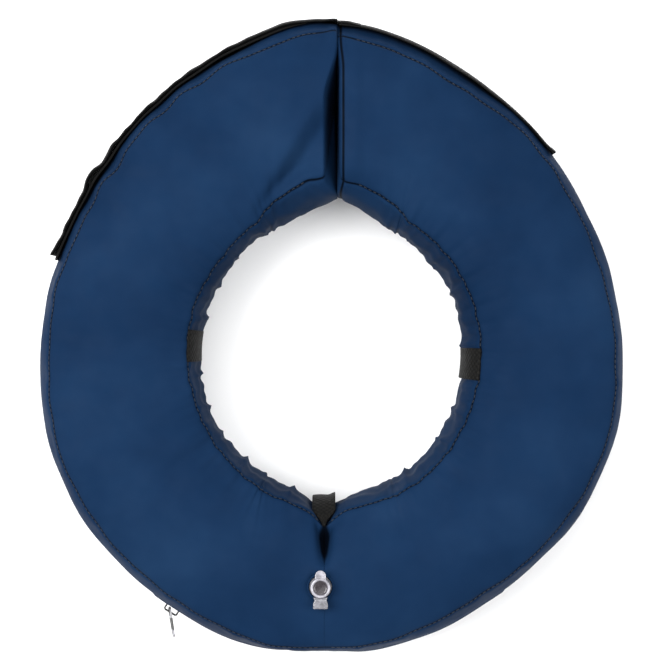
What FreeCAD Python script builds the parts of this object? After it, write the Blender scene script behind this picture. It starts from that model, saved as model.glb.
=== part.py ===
import FreeCAD, Part
import math
import os

import Sketcher
from FreeCAD import Placement, Rotation, Vector

# Inflatable recovery collar for a dog: a ring-shaped cushion that opens at one place, so that it
# goes round the neck.  A coated-fabric cover holds an air bladder.  The ring lies flat on its back
# face: +Z is the ring's axis, +Y points from the centre to the opening, and the origin is on the
# floor under the centre of the ring's round part.
#
# The ring is soft, and to open it bends at two places.  Here it is three stiff sections, a base and
# two arms, that turn about upright axes at the outer rim.  All lengths are millimetres.

# ---------------------------------------------------------------- driving dimensions

DIMENSIONS = {
    # plan of the ring
    "ring_radius": 177,          # outer rim of the round part
    "crown_radius": 218,         # outer rim near the opening, a larger arc tangent to the first
    "blend_angle": 18.04,        # where the two outer arcs meet, above the X axis
    "neck_radius": 97.6,         # inner seam of each half
    "neck_shift": 10.3,          # each half's inner arc is centred this far past the middle
    "neck_lift": 1.5,
    "split_centre": 3.6,         # X of the opening
    "split_gap": 0.8,
    "parting_angle": 38,         # from the bottom of the ring to each bend
    "parting_slack": 0.3,        # degrees left free on each side of a bend
    # section of the ring
    "ring_height": 81,
    "rim_bulge": 7,              # how far the outer band swells past its seams
    "neck_bulge": 2.5,           # how far the inner band swells between the collar loops
    "neck_overlap": 0.4,         # degrees that the base's two neck strips run past the fold
    "cover_thickness": 0.8,
    "film_thickness": 0.4,
    "bladder_clearance": 1.2,
    # hook-and-loop closure over the opening
    "closure_width": 50,
    "closure_tape": 1.2,
    "hook_tape": 0.8,
    "closure_clearance": 0.4,
    "anchor_angle": 37.6,        # sewn end on the right arm, about the right crown centre
    "tail_angle": 160.7,         # free end on the left arm, about the left crown centre
    "fastener_margin": 6,        # degrees of bare strap between its root and the fasteners
    "closure_gap": 0.2,          # between the cover's seam side and the sewn tapes
    "closure_trim": 0.05,        # degrees that the tapes stop short of the opening
    "hook_inset": 2,
    "hook_setback": 0.6,         # degrees that the hook strip stops short of the strap's tail
    "pile_overrun": 0.5,         # degrees that the pile strip runs past it
    # loops for the dog's own collar
    "webbing_width": 19,
    "webbing_thickness": 1.2,
    "loop_reach": 87.6,          # outside of the side loops' webbing, from the neck arc's centre
    "loop_flat": 23.5,           # half the height of the loops' straight middle
    "left_loop_angle": 177.4,
    "right_loop_angle": -4.4,
    "base_loop_shift": -4.8,
    "base_loop_reach": 84.6,
    "base_loop_seam": 92.2,
    "loop_seam_inset": 0.6,
    # zipper along the bottom of the outer band
    "zipper_half_angle": 34.5,
    "zipper_slot": 10,
    "tape_radius": 174.4,
    "tape_thickness": 0.6,
    "tape_height": 12.6,
    "coil_depth": 2,
    "coil_height": 2.4,
    "coil_gap": 1.8,
    "tape_overrun": 1.5,         # degrees of tape past each end of the slot
    "coil_inset": 1,             # degrees from each end of the slot to the end stop
    "stop_sweep": 0.7,           # degrees round the rim taken by an end stop
    "slider_angle": -122,
    "slider_length": 11,
    "slider_width": 9,
    "slider_wing": 1.1,
    "slider_post": 1,
    "slider_taper": 3,           # length of the narrowed nose
    "slider_chamfer": 1,
    "nose_share": 0.3,           # half width of the nose, as a share of the slider's width
    "outer_clearance": 0.4,
    "inner_clearance": 0.5,
    "lip_clearance": 0.4,
    "bridge_height": 4.2,
    "bridge_wire": 1,
    "bridge_half": 3.6,
    "bridge_width": 1.4,
    "pull_length": 15,
    "pull_width": 5,
    "pull_thickness": 1,
    "pull_eye": 2.2,
    "pull_rim": 1,
    "pull_side_rim": 0.8,
    "pull_lean": 41,             # from straight out towards the zipper's middle
    "pull_roll": 15,
    # inflation valve on the front face
    "valve_x": -6.1,
    "valve_y": -135.4,
    "valve_hole": 7.5,
    "flange_radius": 11,
    "flange_thickness": 1,
    "stem_radius": 5.5,
    "stem_bore": 3.5,
    "stem_top": 86,
    "stem_bottom": 68,
    "stem_lip": 0.8,
    "flange_inset": 0.3,
    "seat_rise": 5,
    "seat_thickness": 0.8,
    "seat_width": 1,
    "bar_overlap": 1.2,
    "bar_width": 1,
    "flap_drop": 0.9,            # from under the seat to under the flap
    "flap_thickness": 0.6,
    "flap_overlap": 0.3,
    "well_radius": 12.5,
    "well_depth": 16,
    "plug_radius": 6.2,
    "plug_head": 1.6,
    "plug_length": 7,
    "plug_gap": 0.3,
    "plug_edge": 0.5,
    "spigot_slack": 0.1,
    "spigot_lead": 2,
    "tab_width": 6,
    "tab_reach": 10.2,
    "tab_root": 2,
    "tab_thickness": 1,
    "tab_rise": 0.2,
    "tether_width": 8,
    "tether_reach": 12,
    "tether_thickness": 0.9,
    "tether_drop": 1,            # from the stem's top to under the tether
    "tether_stem_gap": 0.1,
    "tether_plug_gap": 0.3,
}

doc = FreeCAD.newDocument("recovery_collar")
sheet = doc.addObject("Spreadsheet::Sheet", "Sizes")
for row, (alias, value) in enumerate(DIMENSIONS.items(), start=1):
    sheet.set(f"A{row}", alias)
    sheet.set(f"B{row}", str(value))
    sheet.setAlias(f"B{row}", alias)
doc.recompute()


# ---------------------------------------------------------------- sizes that carry their formula

class Size:
    """A number together with the formula that gives it from the sheet.

    A sketch is drawn at the number and its constraint is bound to the formula, so the document
    follows the sheet.
    """

    def __init__(self, number, formula):
        self.number = float(number)
        self.formula = formula

    def __add__(self, other):
        other = size(other)
        return Size(self.number + other.number, f"({self.formula} + {other.formula})")

    def __sub__(self, other):
        other = size(other)
        return Size(self.number - other.number, f"({self.formula} - {other.formula})")

    def __mul__(self, other):
        other = size(other)
        return Size(self.number * other.number, f"({self.formula} * {other.formula})")

    def __truediv__(self, other):
        other = size(other)
        return Size(self.number / other.number, f"({self.formula} / {other.formula})")

    def __radd__(self, other):
        return size(other) + self

    def __rsub__(self, other):
        return size(other) - self

    def __rmul__(self, other):
        return size(other) * self

    def __neg__(self):
        return size(0) - self


def size(value):
    """Give a plain number as a Size, and leave a Size as it is."""
    if isinstance(value, Size):
        return value
    return Size(value, repr(value))


def root(value):
    return Size(math.sqrt(value.number), f"sqrt({value.formula})")


def sine(angle):
    angle = size(angle)
    return Size(math.sin(math.radians(angle.number)), f"sin({angle.formula} * 1deg)")


def cosine(angle):
    angle = size(angle)
    return Size(math.cos(math.radians(angle.number)), f"cos({angle.formula} * 1deg)")


def arccosine(value):
    return Size(math.degrees(math.acos(value.number)), f"(acos({value.formula}) / 1deg)")


SHEET = {alias: Size(value, f"Sizes.{alias}") for alias, value in DIMENSIONS.items()}


def named(alias):
    return SHEET[alias]


def bind(thing, prop, value):
    """Tie one property to its formula."""
    thing.setExpression(prop, size(value).formula)


# ---------------------------------------------------------------- helpers for bodies and sketches

sub_parts = []


def keep(thing, label):
    """Name a finished sub-part; its label names its file."""
    thing.Label = label
    sub_parts.append(thing)
    return thing


def new_body(label):
    return keep(doc.addObject("PartDesign::Body", f"{label}_body"), label)


def new_sketch(body, label, plane, offset=(0, 0, 0), turn=0, axis=(0, 1, 0)):
    """Add a sketch on one of the body's own origin planes, moved by offset in the sketch's axes.

    turn is in degrees about axis, which is the sketch's upright axis unless another is given.
    """
    sketch = body.newObject("Sketcher::SketchObject", f"{body.Label}_{label}")
    support = [item for item in body.Origin.OriginFeatures if item.Role == plane][0]
    sketch.AttachmentSupport = [(support, "")]
    sketch.MapMode = "FlatFace"
    sketch.AttachmentOffset = Placement(Vector(0, 0, 0), Rotation(Vector(*axis), 1))
    for letter, value in zip("xyz", offset):
        bind(sketch, f"AttachmentOffset.Base.{letter}", value)
    bind(sketch, "AttachmentOffset.Rotation.Angle", turn)
    return sketch


def line(point):
    """An outline's next point, reached by a straight edge."""
    return (point, None)


def arc(point, radius, turn):
    """An outline's next point, reached by an arc; turn is +1 anticlockwise and -1 clockwise."""
    return (point, (radius, turn))


def draw(sketch, edges, side=1):
    """Draw one closed outline.

    edges lists each corner with the way it is reached from the corner before it; side -1 mirrors
    the outline left to right.  Every corner's two coordinates and every arc's radius are bound.
    """
    corners = [(size(point[0]) * side if side < 0 else size(point[0]), size(point[1]))
               for point, bend in edges]
    first = sketch.GeometryCount
    ends = []
    for index, (point, bend) in enumerate(edges):
        start, end = corners[index - 1], corners[index]
        from_point = Vector(start[0].number, start[1].number, 0)
        to_point = Vector(end[0].number, end[1].number, 0)
        if bend is None:
            sketch.addGeometry(Part.LineSegment(from_point, to_point))
            ends.append((1, 2))
            continue
        radius, turn = size(bend[0]), bend[1] * side
        chord = to_point - from_point
        height = math.sqrt(radius.number ** 2 - chord.Length ** 2 / 4)
        sideways = Vector(-chord.y, chord.x, 0).normalize() * height * turn
        centre = (from_point + to_point) * 0.5 + sideways
        if turn < 0:
            from_point, to_point = to_point, from_point
        angles = [math.atan2(p.y - centre.y, p.x - centre.x) for p in (from_point, to_point)]
        circle = Part.Circle(centre, Vector(0, 0, 1), radius.number)
        sketch.addGeometry(Part.ArcOfCircle(circle, angles[0], angles[1]))
        ends.append((1, 2) if turn > 0 else (2, 1))
        datum = sketch.addConstraint(Sketcher.Constraint("Radius", first + index, radius.number))
        bind(sketch, f"Constraints[{datum}]", radius)
    for index, corner in enumerate(corners):
        following = (index + 1) % len(edges)
        sketch.addConstraint(Sketcher.Constraint(
            "Coincident", first + index, ends[index][1], first + following, ends[following][0]))
        for kind, value in zip(("DistanceX", "DistanceY"), corner):
            datum = sketch.addConstraint(
                Sketcher.Constraint(kind, first + index, ends[index][1], value.number))
            bind(sketch, f"Constraints[{datum}]", value)


def rectangle(sketch, low_x, high_x, low_y, high_y, side=1):
    draw(sketch, [line((low_x, low_y)), line((high_x, low_y)),
                  line((high_x, high_y)), line((low_x, high_y))], side)


def circle(sketch, x, y, radius):
    centre = Vector(size(x).number, size(y).number, 0)
    index = sketch.addGeometry(Part.Circle(centre, Vector(0, 0, 1), size(radius).number))
    for kind, value in (("DistanceX", x), ("DistanceY", y)):
        value = size(value)
        datum = sketch.addConstraint(Sketcher.Constraint(kind, index, 3, value.number))
        bind(sketch, f"Constraints[{datum}]", value)
    datum = sketch.addConstraint(Sketcher.Constraint("Radius", index, size(radius).number))
    bind(sketch, f"Constraints[{datum}]", radius)


def pad(body, sketch, length, midplane=False):
    feature = body.newObject("PartDesign::Pad", f"{sketch.Name}_pad")
    feature.Profile = sketch
    feature.Midplane = midplane
    bind(feature, "Length", length)
    return feature


def pocket(body, sketch, length, midplane=False):
    """Cut from the sketch downwards, or to both sides of it, and check that it took something."""
    doc.recompute()
    before = body.Shape.Volume
    feature = body.newObject("PartDesign::Pocket", f"{sketch.Name}_pocket")
    feature.Profile = sketch
    feature.Midplane = midplane
    bind(feature, "Length", length)
    doc.recompute()
    if body.Shape.Volume > before - 0.01:
        raise RuntimeError(f"{body.Label}: the pocket {sketch.Name} cuts nothing")
    return feature


def revolve(body, sketch, sweep):
    """Turn a profile about its sketch's upright axis, anticlockwise by sweep degrees."""
    feature = body.newObject("PartDesign::Revolution", f"{sketch.Name}_turn")
    feature.Profile = sketch
    feature.ReferenceAxis = (sketch, ["V_Axis"])
    bind(feature, "Angle", sweep)
    return feature


# ---------------------------------------------------------------- the ring's plan

ring_radius = named("ring_radius")
crown_radius = named("crown_radius")
blend = named("blend_angle")
thickness = named("cover_thickness")
height = named("ring_height")
bulge = named("rim_bulge")
neck_bulge = named("neck_bulge")
seam_radius = ring_radius - bulge
crown_seam_radius = crown_radius - bulge
slack = named("parting_slack")
parting = named("parting_angle")
arm_start = parting + slack - 90
crown_x = (ring_radius - crown_radius) * cosine(blend)
crown_y = (ring_radius - crown_radius) * sine(blend)
neck_x = -named("neck_shift")
neck_y = named("neck_lift")


def split_reach(side):
    """Distance from the ring's middle to the arm's cut end, measured towards that arm."""
    return named("split_gap") / 2 + named("split_centre") * side


def on_ray(angle, radius):
    return (cosine(angle) * radius, sine(angle) * radius)


def neck_on_ray(angle, radius):
    """Where the ray from the origin at this angle meets the right half's neck arc."""
    along = cosine(angle) * neck_x + sine(angle) * neck_y
    reach = along + root(along * along + radius * radius - neck_x * neck_x - neck_y * neck_y)
    return on_ray(angle, reach)


def height_at(x, centre_x, centre_y, radius):
    """Y of the upper side of a circle at this X."""
    return centre_y + root(radius * radius - (x - centre_x) * (x - centre_x))


def arm_outline(sketch, side, inset_rim, inset_neck, inset_ends):
    """Plan of one arm, drawn for the right side: bend, rim, crown, opening and neck arc."""
    rim = seam_radius - inset_rim
    crown = crown_seam_radius - inset_rim
    neck = named("neck_radius") + inset_neck
    start = arm_start + inset_ends * 0.5
    end_x = split_reach(side) + thickness + inset_ends
    draw(sketch, [
        line(on_ray(start, rim)),
        arc(on_ray(blend, rim), rim, 1),
        arc((end_x, height_at(end_x, crown_x, crown_y, crown)), crown, 1),
        line((end_x, height_at(end_x, neck_x, neck_y, neck))),
        arc(neck_on_ray(start, neck), neck, -1),
    ], side)


def base_outline(sketch, inset_rim, inset_neck, inset_ends):
    """Plan of the base: the rim below, and two neck arcs that meet in a shallow notch."""
    rim = seam_radius - inset_rim
    neck = named("neck_radius") + inset_neck
    right = parting - slack - inset_ends * 0.5 - 90
    left = -(right + 180)
    notch_y = neck_y * 2 - height_at(size(0), neck_x, neck_y, neck)
    near_left = neck_on_ray(right, neck)
    draw(sketch, [
        line(on_ray(left, rim)),
        arc(on_ray(right, rim), rim, 1),
        line(neck_on_ray(right, neck)),
        arc((0, notch_y), neck, -1),
        arc((-near_left[0], near_left[1]), neck, -1),
    ])


# ---------------------------------------------------------------- cover panels and bladder

def panels(section, outline):
    """Front and back face panels of one section, each cut from flat coated fabric."""
    front = new_body(f"front_panel_{section}")
    sketch = new_sketch(front, "plan", "XY_Plane", (0, 0, height - thickness))
    outline(sketch, 0, 0, 0)
    pad(front, sketch, thickness)
    back = new_body(f"back_panel_{section}")
    sketch = new_sketch(back, "plan", "XY_Plane")
    outline(sketch, 0, 0, 0)
    pad(back, sketch, thickness)
    return front


def bladder(section, outline, well=False):
    """Air chamber: a thin film all round a sealed hollow, with a well for the valve's flange."""
    clearance = named("bladder_clearance")
    film = named("film_thickness")
    layers = []
    for name, inset in (("outside", clearance), ("inside", clearance + film)):
        body = doc.addObject("PartDesign::Body", f"bladder_{section}_{name}")
        body.Label = f"bladder {section} {name}"
        sketch = new_sketch(body, name, "XY_Plane", (0, 0, inset))
        outline(sketch, inset + thickness, inset + thickness, inset)
        pad(body, sketch, height - inset * 2)
        if well:
            step = inset - clearance
            sketch = new_sketch(body, f"{name}_well", "XY_Plane", (0, 0, height - inset))
            circle(sketch, named("valve_x"), named("valve_y"), named("well_radius") + step)
            pocket(body, sketch, named("well_depth"))
        layers.append(body)
    shell = doc.addObject("Part::Cut", f"bladder_{section}_shell")
    shell.Base, shell.Tool = layers
    return keep(shell, f"bladder_{section}")


def arm_plan(side):
    def outline(sketch, inset_rim, inset_neck, inset_ends):
        arm_outline(sketch, side, inset_rim, inset_neck, inset_ends)
    return outline


front_base = panels("base", base_outline)
hole = new_sketch(front_base, "valve_hole", "XY_Plane", (0, 0, height))
circle(hole, named("valve_x"), named("valve_y"), named("valve_hole"))
pocket(front_base, hole, thickness * 2)
bladder("base", base_outline, well=True)
for arm, side in (("left", -1), ("right", 1)):
    panels(arm, arm_plan(side))
    bladder(arm, arm_plan(side))


# ---------------------------------------------------------------- cover bands

band_low = thickness
band_high = height - thickness
half_band = (band_high - band_low) / 2


def arc_radius(half_chord, rise):
    """Radius of the arc that rises this far over a chord."""
    return (half_chord * half_chord + rise * rise) / (rise * 2)


def band_profile(sketch, seam, rise):
    """Section of a band: a strip between two seams that swells outwards by rise."""
    radius = arc_radius(half_band, rise)
    draw(sketch, [
        arc((seam - thickness, band_low), radius, -1),
        line((seam, band_low)),
        arc((seam, band_high), radius, 1),
        line((seam - thickness, band_high)),
    ])


def neck_profile(sketch, seam, rise):
    """Section of the inner band, which swells towards the neck."""
    radius = arc_radius(half_band, rise)
    draw(sketch, [
        arc((seam, band_low), radius, 1),
        line((seam + thickness, band_low)),
        arc((seam + thickness, band_high), radius, -1),
        line((seam, band_high)),
    ])


def turned_strip(body, name, profile, centre, start, sweep, side=1):
    """Add one stretch of a band, turned about an upright axis; side -1 mirrors it to the left."""
    centre_x, centre_y = centre
    if side < 0:
        centre_x, start = -size(centre_x), 180 - size(start) - size(sweep)
    sketch = new_sketch(body, name, "XZ_Plane", (centre_x, 0, -size(centre_y)), start)
    profile(sketch)
    return revolve(body, sketch, sweep)


def trim_at_split(body, side):
    """Cut an arm's strip off square where the end panel stands."""
    sketch = new_sketch(body, "split", "XY_Plane", (0, 0, height + 1))
    end_x = split_reach(side) + thickness
    rectangle(sketch, end_x - crown_radius, end_x, 0, crown_radius * 1.2, side)
    pocket(body, sketch, height + 2)


def past_split(side, centre_x, radius):
    """Angle about the centre that carries a strip just past the arm's cut end."""
    return arccosine((split_reach(side) - centre_x) / radius)


ORIGIN = (size(0), size(0))
CROWN = (crown_x, crown_y)
NECK = (neck_x, neck_y)

for arm, side in (("left", -1), ("right", 1)):
    outer = new_body(f"outer_band_{arm}")
    turned_strip(outer, "rim", lambda s: band_profile(s, seam_radius, bulge),
                 ORIGIN, arm_start, blend - arm_start, side)
    crown_end = past_split(side, crown_x, crown_radius)
    turned_strip(outer, "crown", lambda s: band_profile(s, crown_seam_radius, bulge),
                 CROWN, blend, crown_end - blend, side)
    trim_at_split(outer, side)

    inner = new_body(f"inner_band_{arm}")
    low = neck_on_ray(arm_start, named("neck_radius"))
    neck_start = -arccosine((low[0] - neck_x) / named("neck_radius"))
    neck_end = past_split(side, neck_x, named("neck_radius"))
    turned_strip(inner, "neck", lambda s: neck_profile(s, named("neck_radius"), neck_bulge),
                 NECK, neck_start, neck_end - neck_start, side)
    trim_at_split(inner, side)

outer = new_body("outer_band_base")
base_start = slack - parting - 90
turned_strip(outer, "rim", lambda s: band_profile(s, seam_radius, bulge),
             ORIGIN, base_start, (parting - slack) * 2)
zipper_half = named("zipper_half_angle")
zipper_middle = height / 2
slot_half = named("zipper_slot") / 2
slot_sketch = new_sketch(outer, "zipper_slot", "XZ_Plane", (0, 0, 0), -90 - zipper_half)
rectangle(slot_sketch, ring_radius - bulge, ring_radius + bulge,
          zipper_middle - slot_half, zipper_middle + slot_half)
doc.recompute()
whole_band = outer.Shape.Volume
groove = outer.newObject("PartDesign::Groove", "zipper_slot_groove")
groove.Profile = slot_sketch
groove.ReferenceAxis = (slot_sketch, ["V_Axis"])
bind(groove, "Angle", zipper_half * 2)
doc.recompute()
if outer.Shape.Volume > whole_band * 0.95:
    raise RuntimeError("the zipper slot cuts nothing")

inner = new_body("inner_band_base")
base_end = parting - slack - 90
low = neck_on_ray(base_end, named("neck_radius"))
neck_high = -arccosine((low[0] - neck_x) / named("neck_radius"))
neck_low = -arccosine((0 - neck_x) / named("neck_radius")) - named("neck_overlap")
for name, side in (("right_half", 1), ("left_half", -1)):
    turned_strip(inner, name, lambda s: neck_profile(s, named("neck_radius"), neck_bulge),
                 NECK, neck_low, neck_high - neck_low, side)


# ---------------------------------------------------------------- end panels at the opening

for arm, side in (("left", -1), ("right", 1)):
    face = new_body(f"end_panel_{arm}")
    end_x = split_reach(side)
    neck_y_at_end = height_at(end_x, neck_x, neck_y, named("neck_radius"))
    rim_y_at_end = height_at(end_x, crown_x, crown_y, crown_seam_radius)
    offset_z = end_x if side > 0 else -(end_x + thickness)
    sketch = new_sketch(face, "face", "YZ_Plane", (0, 0, offset_z))
    draw(sketch, [
        arc((neck_y_at_end, 0), arc_radius(height / 2, neck_bulge), 1),
        line((rim_y_at_end, 0)),
        arc((rim_y_at_end, height), arc_radius(height / 2, bulge), 1),
        line((neck_y_at_end, height)),
    ])
    pad(face, sketch, thickness)


# ---------------------------------------------------------------- loops for the dog's collar

def collar_loop(label, centre, angle, seam, reach, shift=0):
    """Webbing sewn into both neck seams, standing off the band so that a dog collar passes."""
    tape = named("webbing_thickness")
    flat = named("loop_flat")
    body = new_body(label)
    sketch = new_sketch(body, "side_view", "XZ_Plane",
                        (0, 0, -size(shift)))
    low, high = thickness, height - thickness
    middle = height / 2
    draw(sketch, [
        line((seam, low)),
        line((reach, middle - flat)),
        line((reach, middle + flat)),
        line((seam, high)),
        line((seam - tape * 1.5, high)),
        line((reach - tape, middle + flat + tape * 0.4)),
        line((reach - tape, middle - flat - tape * 0.4)),
        line((seam - tape * 1.5, low)),
    ])
    pad(body, sketch, named("webbing_width"), midplane=True)
    for axis, value in zip("xy", centre):
        bind(body, f"Placement.Base.{axis}", value)
    body.Placement.Rotation = Rotation(Vector(0, 0, 1), 1)
    bind(body, "Placement.Rotation.Angle", angle)


side_seam = named("neck_radius") - named("loop_seam_inset")
collar_loop("collar_loop_left", (-neck_x, neck_y), named("left_loop_angle"), side_seam,
            named("loop_reach"))
collar_loop("collar_loop_right", (neck_x, neck_y), named("right_loop_angle"), side_seam,
            named("loop_reach"))
collar_loop("collar_loop_base", ORIGIN, -90, named("base_loop_seam"),
            named("base_loop_reach"), named("base_loop_shift"))


# ---------------------------------------------------------------- hook-and-loop closure

closure_low = (height - named("closure_width")) / 2
closure_high = closure_low + named("closure_width")
closure_tape = named("closure_tape")
anchor_inside = crown_radius + named("closure_gap")
hook_inside = anchor_inside + closure_tape + named("closure_clearance")
closure_inside = hook_inside + named("hook_tape")
tail = 180 - named("tail_angle")


def flat_tape(inside, depth, inset=0):
    def profile(sketch):
        rectangle(sketch, inside, inside + depth, closure_low + inset, closure_high - inset)
    return profile


anchor = new_body("strap_anchor")
anchor_end = past_split(1, crown_x, crown_radius) - named("closure_trim")
turned_strip(anchor, "tape", flat_tape(anchor_inside, closure_tape), CROWN,
             named("anchor_angle"), anchor_end - named("anchor_angle"))

left_end = past_split(-1, crown_x, crown_radius) - named("closure_trim")
fastener_end = left_end - named("fastener_margin")
for label, inside, depth, inset, start, end in (
        ("loop_fastener_strip", anchor_inside, closure_tape, 0, tail - named("pile_overrun"),
         fastener_end),
        ("hook_fastener_strip", hook_inside, named("hook_tape"), named("hook_inset"),
         tail + named("hook_setback"), fastener_end),
        ("closure_strap", closure_inside, closure_tape, 0, tail, left_end)):
    fastener = new_body(label)
    turned_strip(fastener, "tape", flat_tape(inside, depth, inset), CROWN,
                 start, end - start, side=-1)


# ---------------------------------------------------------------- zipper in the outer band

tape_inside = named("tape_radius")
tape_outside = tape_inside + named("tape_thickness")
coil_outside = tape_outside + named("coil_depth")
half_gap = named("coil_gap") / 2
coil_reach = half_gap + named("coil_height")
tape_half = zipper_half + named("tape_overrun")
coil_half = zipper_half - named("coil_inset")
stop_sweep = named("stop_sweep")


def both_sides(label, low_radius, high_radius, near, far, start, sweep):
    """Two equal strips, above and below the zipper's middle line, as one group of solids."""
    halves = []
    for name, direction in (("lower", -1), ("upper", 1)):
        body = doc.addObject("PartDesign::Body", f"{label}_{name}")
        body.Label = f"{label} {name}"
        sketch = new_sketch(body, name, "XZ_Plane", (0, 0, 0), start)
        levels = (zipper_middle + near * direction, zipper_middle + far * direction)
        low, high = levels if direction > 0 else levels[::-1]
        rectangle(sketch, low_radius, high_radius, low, high)
        revolve(body, sketch, sweep)
        halves.append(body)
    group = doc.addObject("Part::Compound", f"{label}_group")
    group.Links = halves
    return keep(group, label)


both_sides("zipper_tapes", tape_inside, tape_outside, half_gap,
           half_gap + named("tape_height"), -90 - tape_half, tape_half * 2)
both_sides("zipper_coils", tape_outside, coil_outside, half_gap, coil_reach,
           -90 - coil_half, coil_half * 2)

stops = []
for name, start in (("first", -90 - coil_half - stop_sweep), ("last", coil_half - 90)):
    body = doc.addObject("PartDesign::Body", f"zipper_stop_{name}")
    body.Label = f"zipper stop {name}"
    sketch = new_sketch(body, name, "XZ_Plane", (0, 0, 0), start)
    rectangle(sketch, tape_outside, coil_outside,
              zipper_middle - coil_reach, zipper_middle + coil_reach)
    revolve(body, sketch, stop_sweep)
    stops.append(body)
stop_group = doc.addObject("Part::Compound", "zipper_stops_group")
stop_group.Links = stops
keep(stop_group, "zipper_stops")

# The slider is drawn with X straight out from the ring and Y along the zipper.
slider = new_body("zip_slider")
wing = named("slider_wing")
half_length = named("slider_length") / 2
half_width = named("slider_width") / 2
nose = named("slider_width") * named("nose_share")
taper_start = half_length - named("slider_taper")
chamfer = named("slider_chamfer")
outer_wing = coil_outside + named("outer_clearance")
inner_wing = tape_inside - named("inner_clearance")
post_sketch = new_sketch(slider, "post", "XY_Plane", (0, 0, zipper_middle))
rectangle(post_sketch, inner_wing - wing / 2, outer_wing + wing / 2,
          chamfer, half_length - chamfer)
pad(slider, post_sketch, named("slider_post"), midplane=True)
for name, low, high in (("outer", outer_wing, outer_wing + wing),
                        ("inner", inner_wing - wing, inner_wing)):
    wing_sketch = new_sketch(slider, f"{name}_wing", "YZ_Plane", (0, 0, low))
    draw(wing_sketch, [
        line((-half_length, zipper_middle - nose)),
        line((chamfer - half_length, zipper_middle - half_width)),
        line((taper_start, zipper_middle - half_width)),
        line((half_length, zipper_middle - nose)),
        line((half_length, zipper_middle + nose)),
        line((taper_start, zipper_middle + half_width)),
        line((chamfer - half_length, zipper_middle + half_width)),
        line((-half_length, zipper_middle + nose)),
    ])
    pad(slider, wing_sketch, high - low)
lip = half_width - coil_reach - named("lip_clearance")
for name, edge in (("lower", zipper_middle - half_width),
                   ("upper", zipper_middle + half_width - lip)):
    lip_sketch = new_sketch(slider, f"{name}_lip", "XY_Plane", (0, 0, edge))
    rectangle(lip_sketch, tape_outside + named("inner_clearance"), outer_wing + wing / 2,
              chamfer - half_length, taper_start)
    pad(slider, lip_sketch, lip)
wire = named("bridge_wire")
bridge_low = outer_wing + wing
bridge_high = bridge_low + named("bridge_height")
bridge_half = named("bridge_half")
bridge_sketch = new_sketch(slider, "bridge", "XY_Plane", (0, 0, zipper_middle))
draw(bridge_sketch, [
    line((bridge_low - wing / 2, -(bridge_half + wire))),
    line((bridge_low - wing / 2, -bridge_half)),
    line((bridge_high - wire, -bridge_half)),
    line((bridge_high - wire, bridge_half)),
    line((bridge_low - wing / 2, bridge_half)),
    line((bridge_low - wing / 2, bridge_half + wire)),
    line((bridge_high - wire, bridge_half + wire)),
    line((bridge_high, bridge_half)),
    line((bridge_high, -bridge_half)),
    line((bridge_high - wire, -(bridge_half + wire))),
])
pad(slider, bridge_sketch, named("bridge_width"), midplane=True)
slider.Placement.Rotation = Rotation(Vector(0, 0, 1), 1)
bind(slider, "Placement.Rotation.Angle", named("slider_angle"))

# The pull is drawn along +X from its pivot in the bridge, standing nearly on edge.
pull = new_body("zip_pull")
pull_half = named("pull_width") / 2
eye = named("pull_eye")
rim_wire = named("pull_rim")
pull_depth = named("pull_thickness")
tab_end = named("pull_length")
tab_taper = tab_end - pull_half * 0.6
upright = 90 - named("pull_roll")


def pull_drawing(label):
    return new_sketch(pull, label, "XY_Plane", turn=upright, axis=(1, 0, 0))


pull_sketch = pull_drawing("plan")
draw(pull_sketch, [
    line((-(eye + rim_wire), rim_wire - pull_half)),
    line((-eye, -pull_half)),
    line((eye + rim_wire * 2, -pull_half)),
    line((tab_taper, -(pull_half * 0.8))),
    line((tab_end, -(pull_half * 0.3))),
    line((tab_end, pull_half * 0.3)),
    line((tab_taper, pull_half * 0.8)),
    line((eye + rim_wire * 2, pull_half)),
    line((-eye, pull_half)),
    line((-(eye + rim_wire), pull_half - rim_wire)),
])
pad(pull, pull_sketch, pull_depth, midplane=True)
eye_half = pull_half - named("pull_side_rim")
eye_sketch = pull_drawing("eye")
rectangle(eye_sketch, -eye, eye, -eye_half, eye_half)
pocket(pull, eye_sketch, pull_depth * 2, midplane=True)
window = pull_drawing("window")
rectangle(window, eye + rim_wire * 1.5, tab_end - rim_wire * 2,
          -(pull_half * 0.45), pull_half * 0.45)
pocket(pull, window, pull_depth * 2, midplane=True)
pivot_radius = bridge_high - wire / 2
slider_angle = named("slider_angle")
bind(pull, "Placement.Base.x", cosine(slider_angle) * pivot_radius)
bind(pull, "Placement.Base.y", sine(slider_angle) * pivot_radius)
bind(pull, "Placement.Base.z", zipper_middle)
pull.Placement.Rotation = Rotation(Vector(0, 0, 1), 1)
bind(pull, "Placement.Rotation.Angle", slider_angle + named("pull_lean"))


# ---------------------------------------------------------------- inflation valve

valve_x, valve_y = named("valve_x"), named("valve_y")
stem_top, stem_bottom = named("stem_top"), named("stem_bottom")
stem_radius, stem_bore = named("stem_radius"), named("stem_bore")
stem_mouth = stem_bore + named("stem_lip")
seat_bore = stem_bore - named("seat_width")
flange_top = height - thickness - named("flange_inset")
flange_low = flange_top - named("flange_thickness")
seat_high = stem_bottom + named("seat_rise")
seat_low = seat_high - named("seat_thickness")


def place_valve_piece(body):
    bind(body, "Placement.Base.x", valve_x)
    bind(body, "Placement.Base.y", valve_y)


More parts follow.
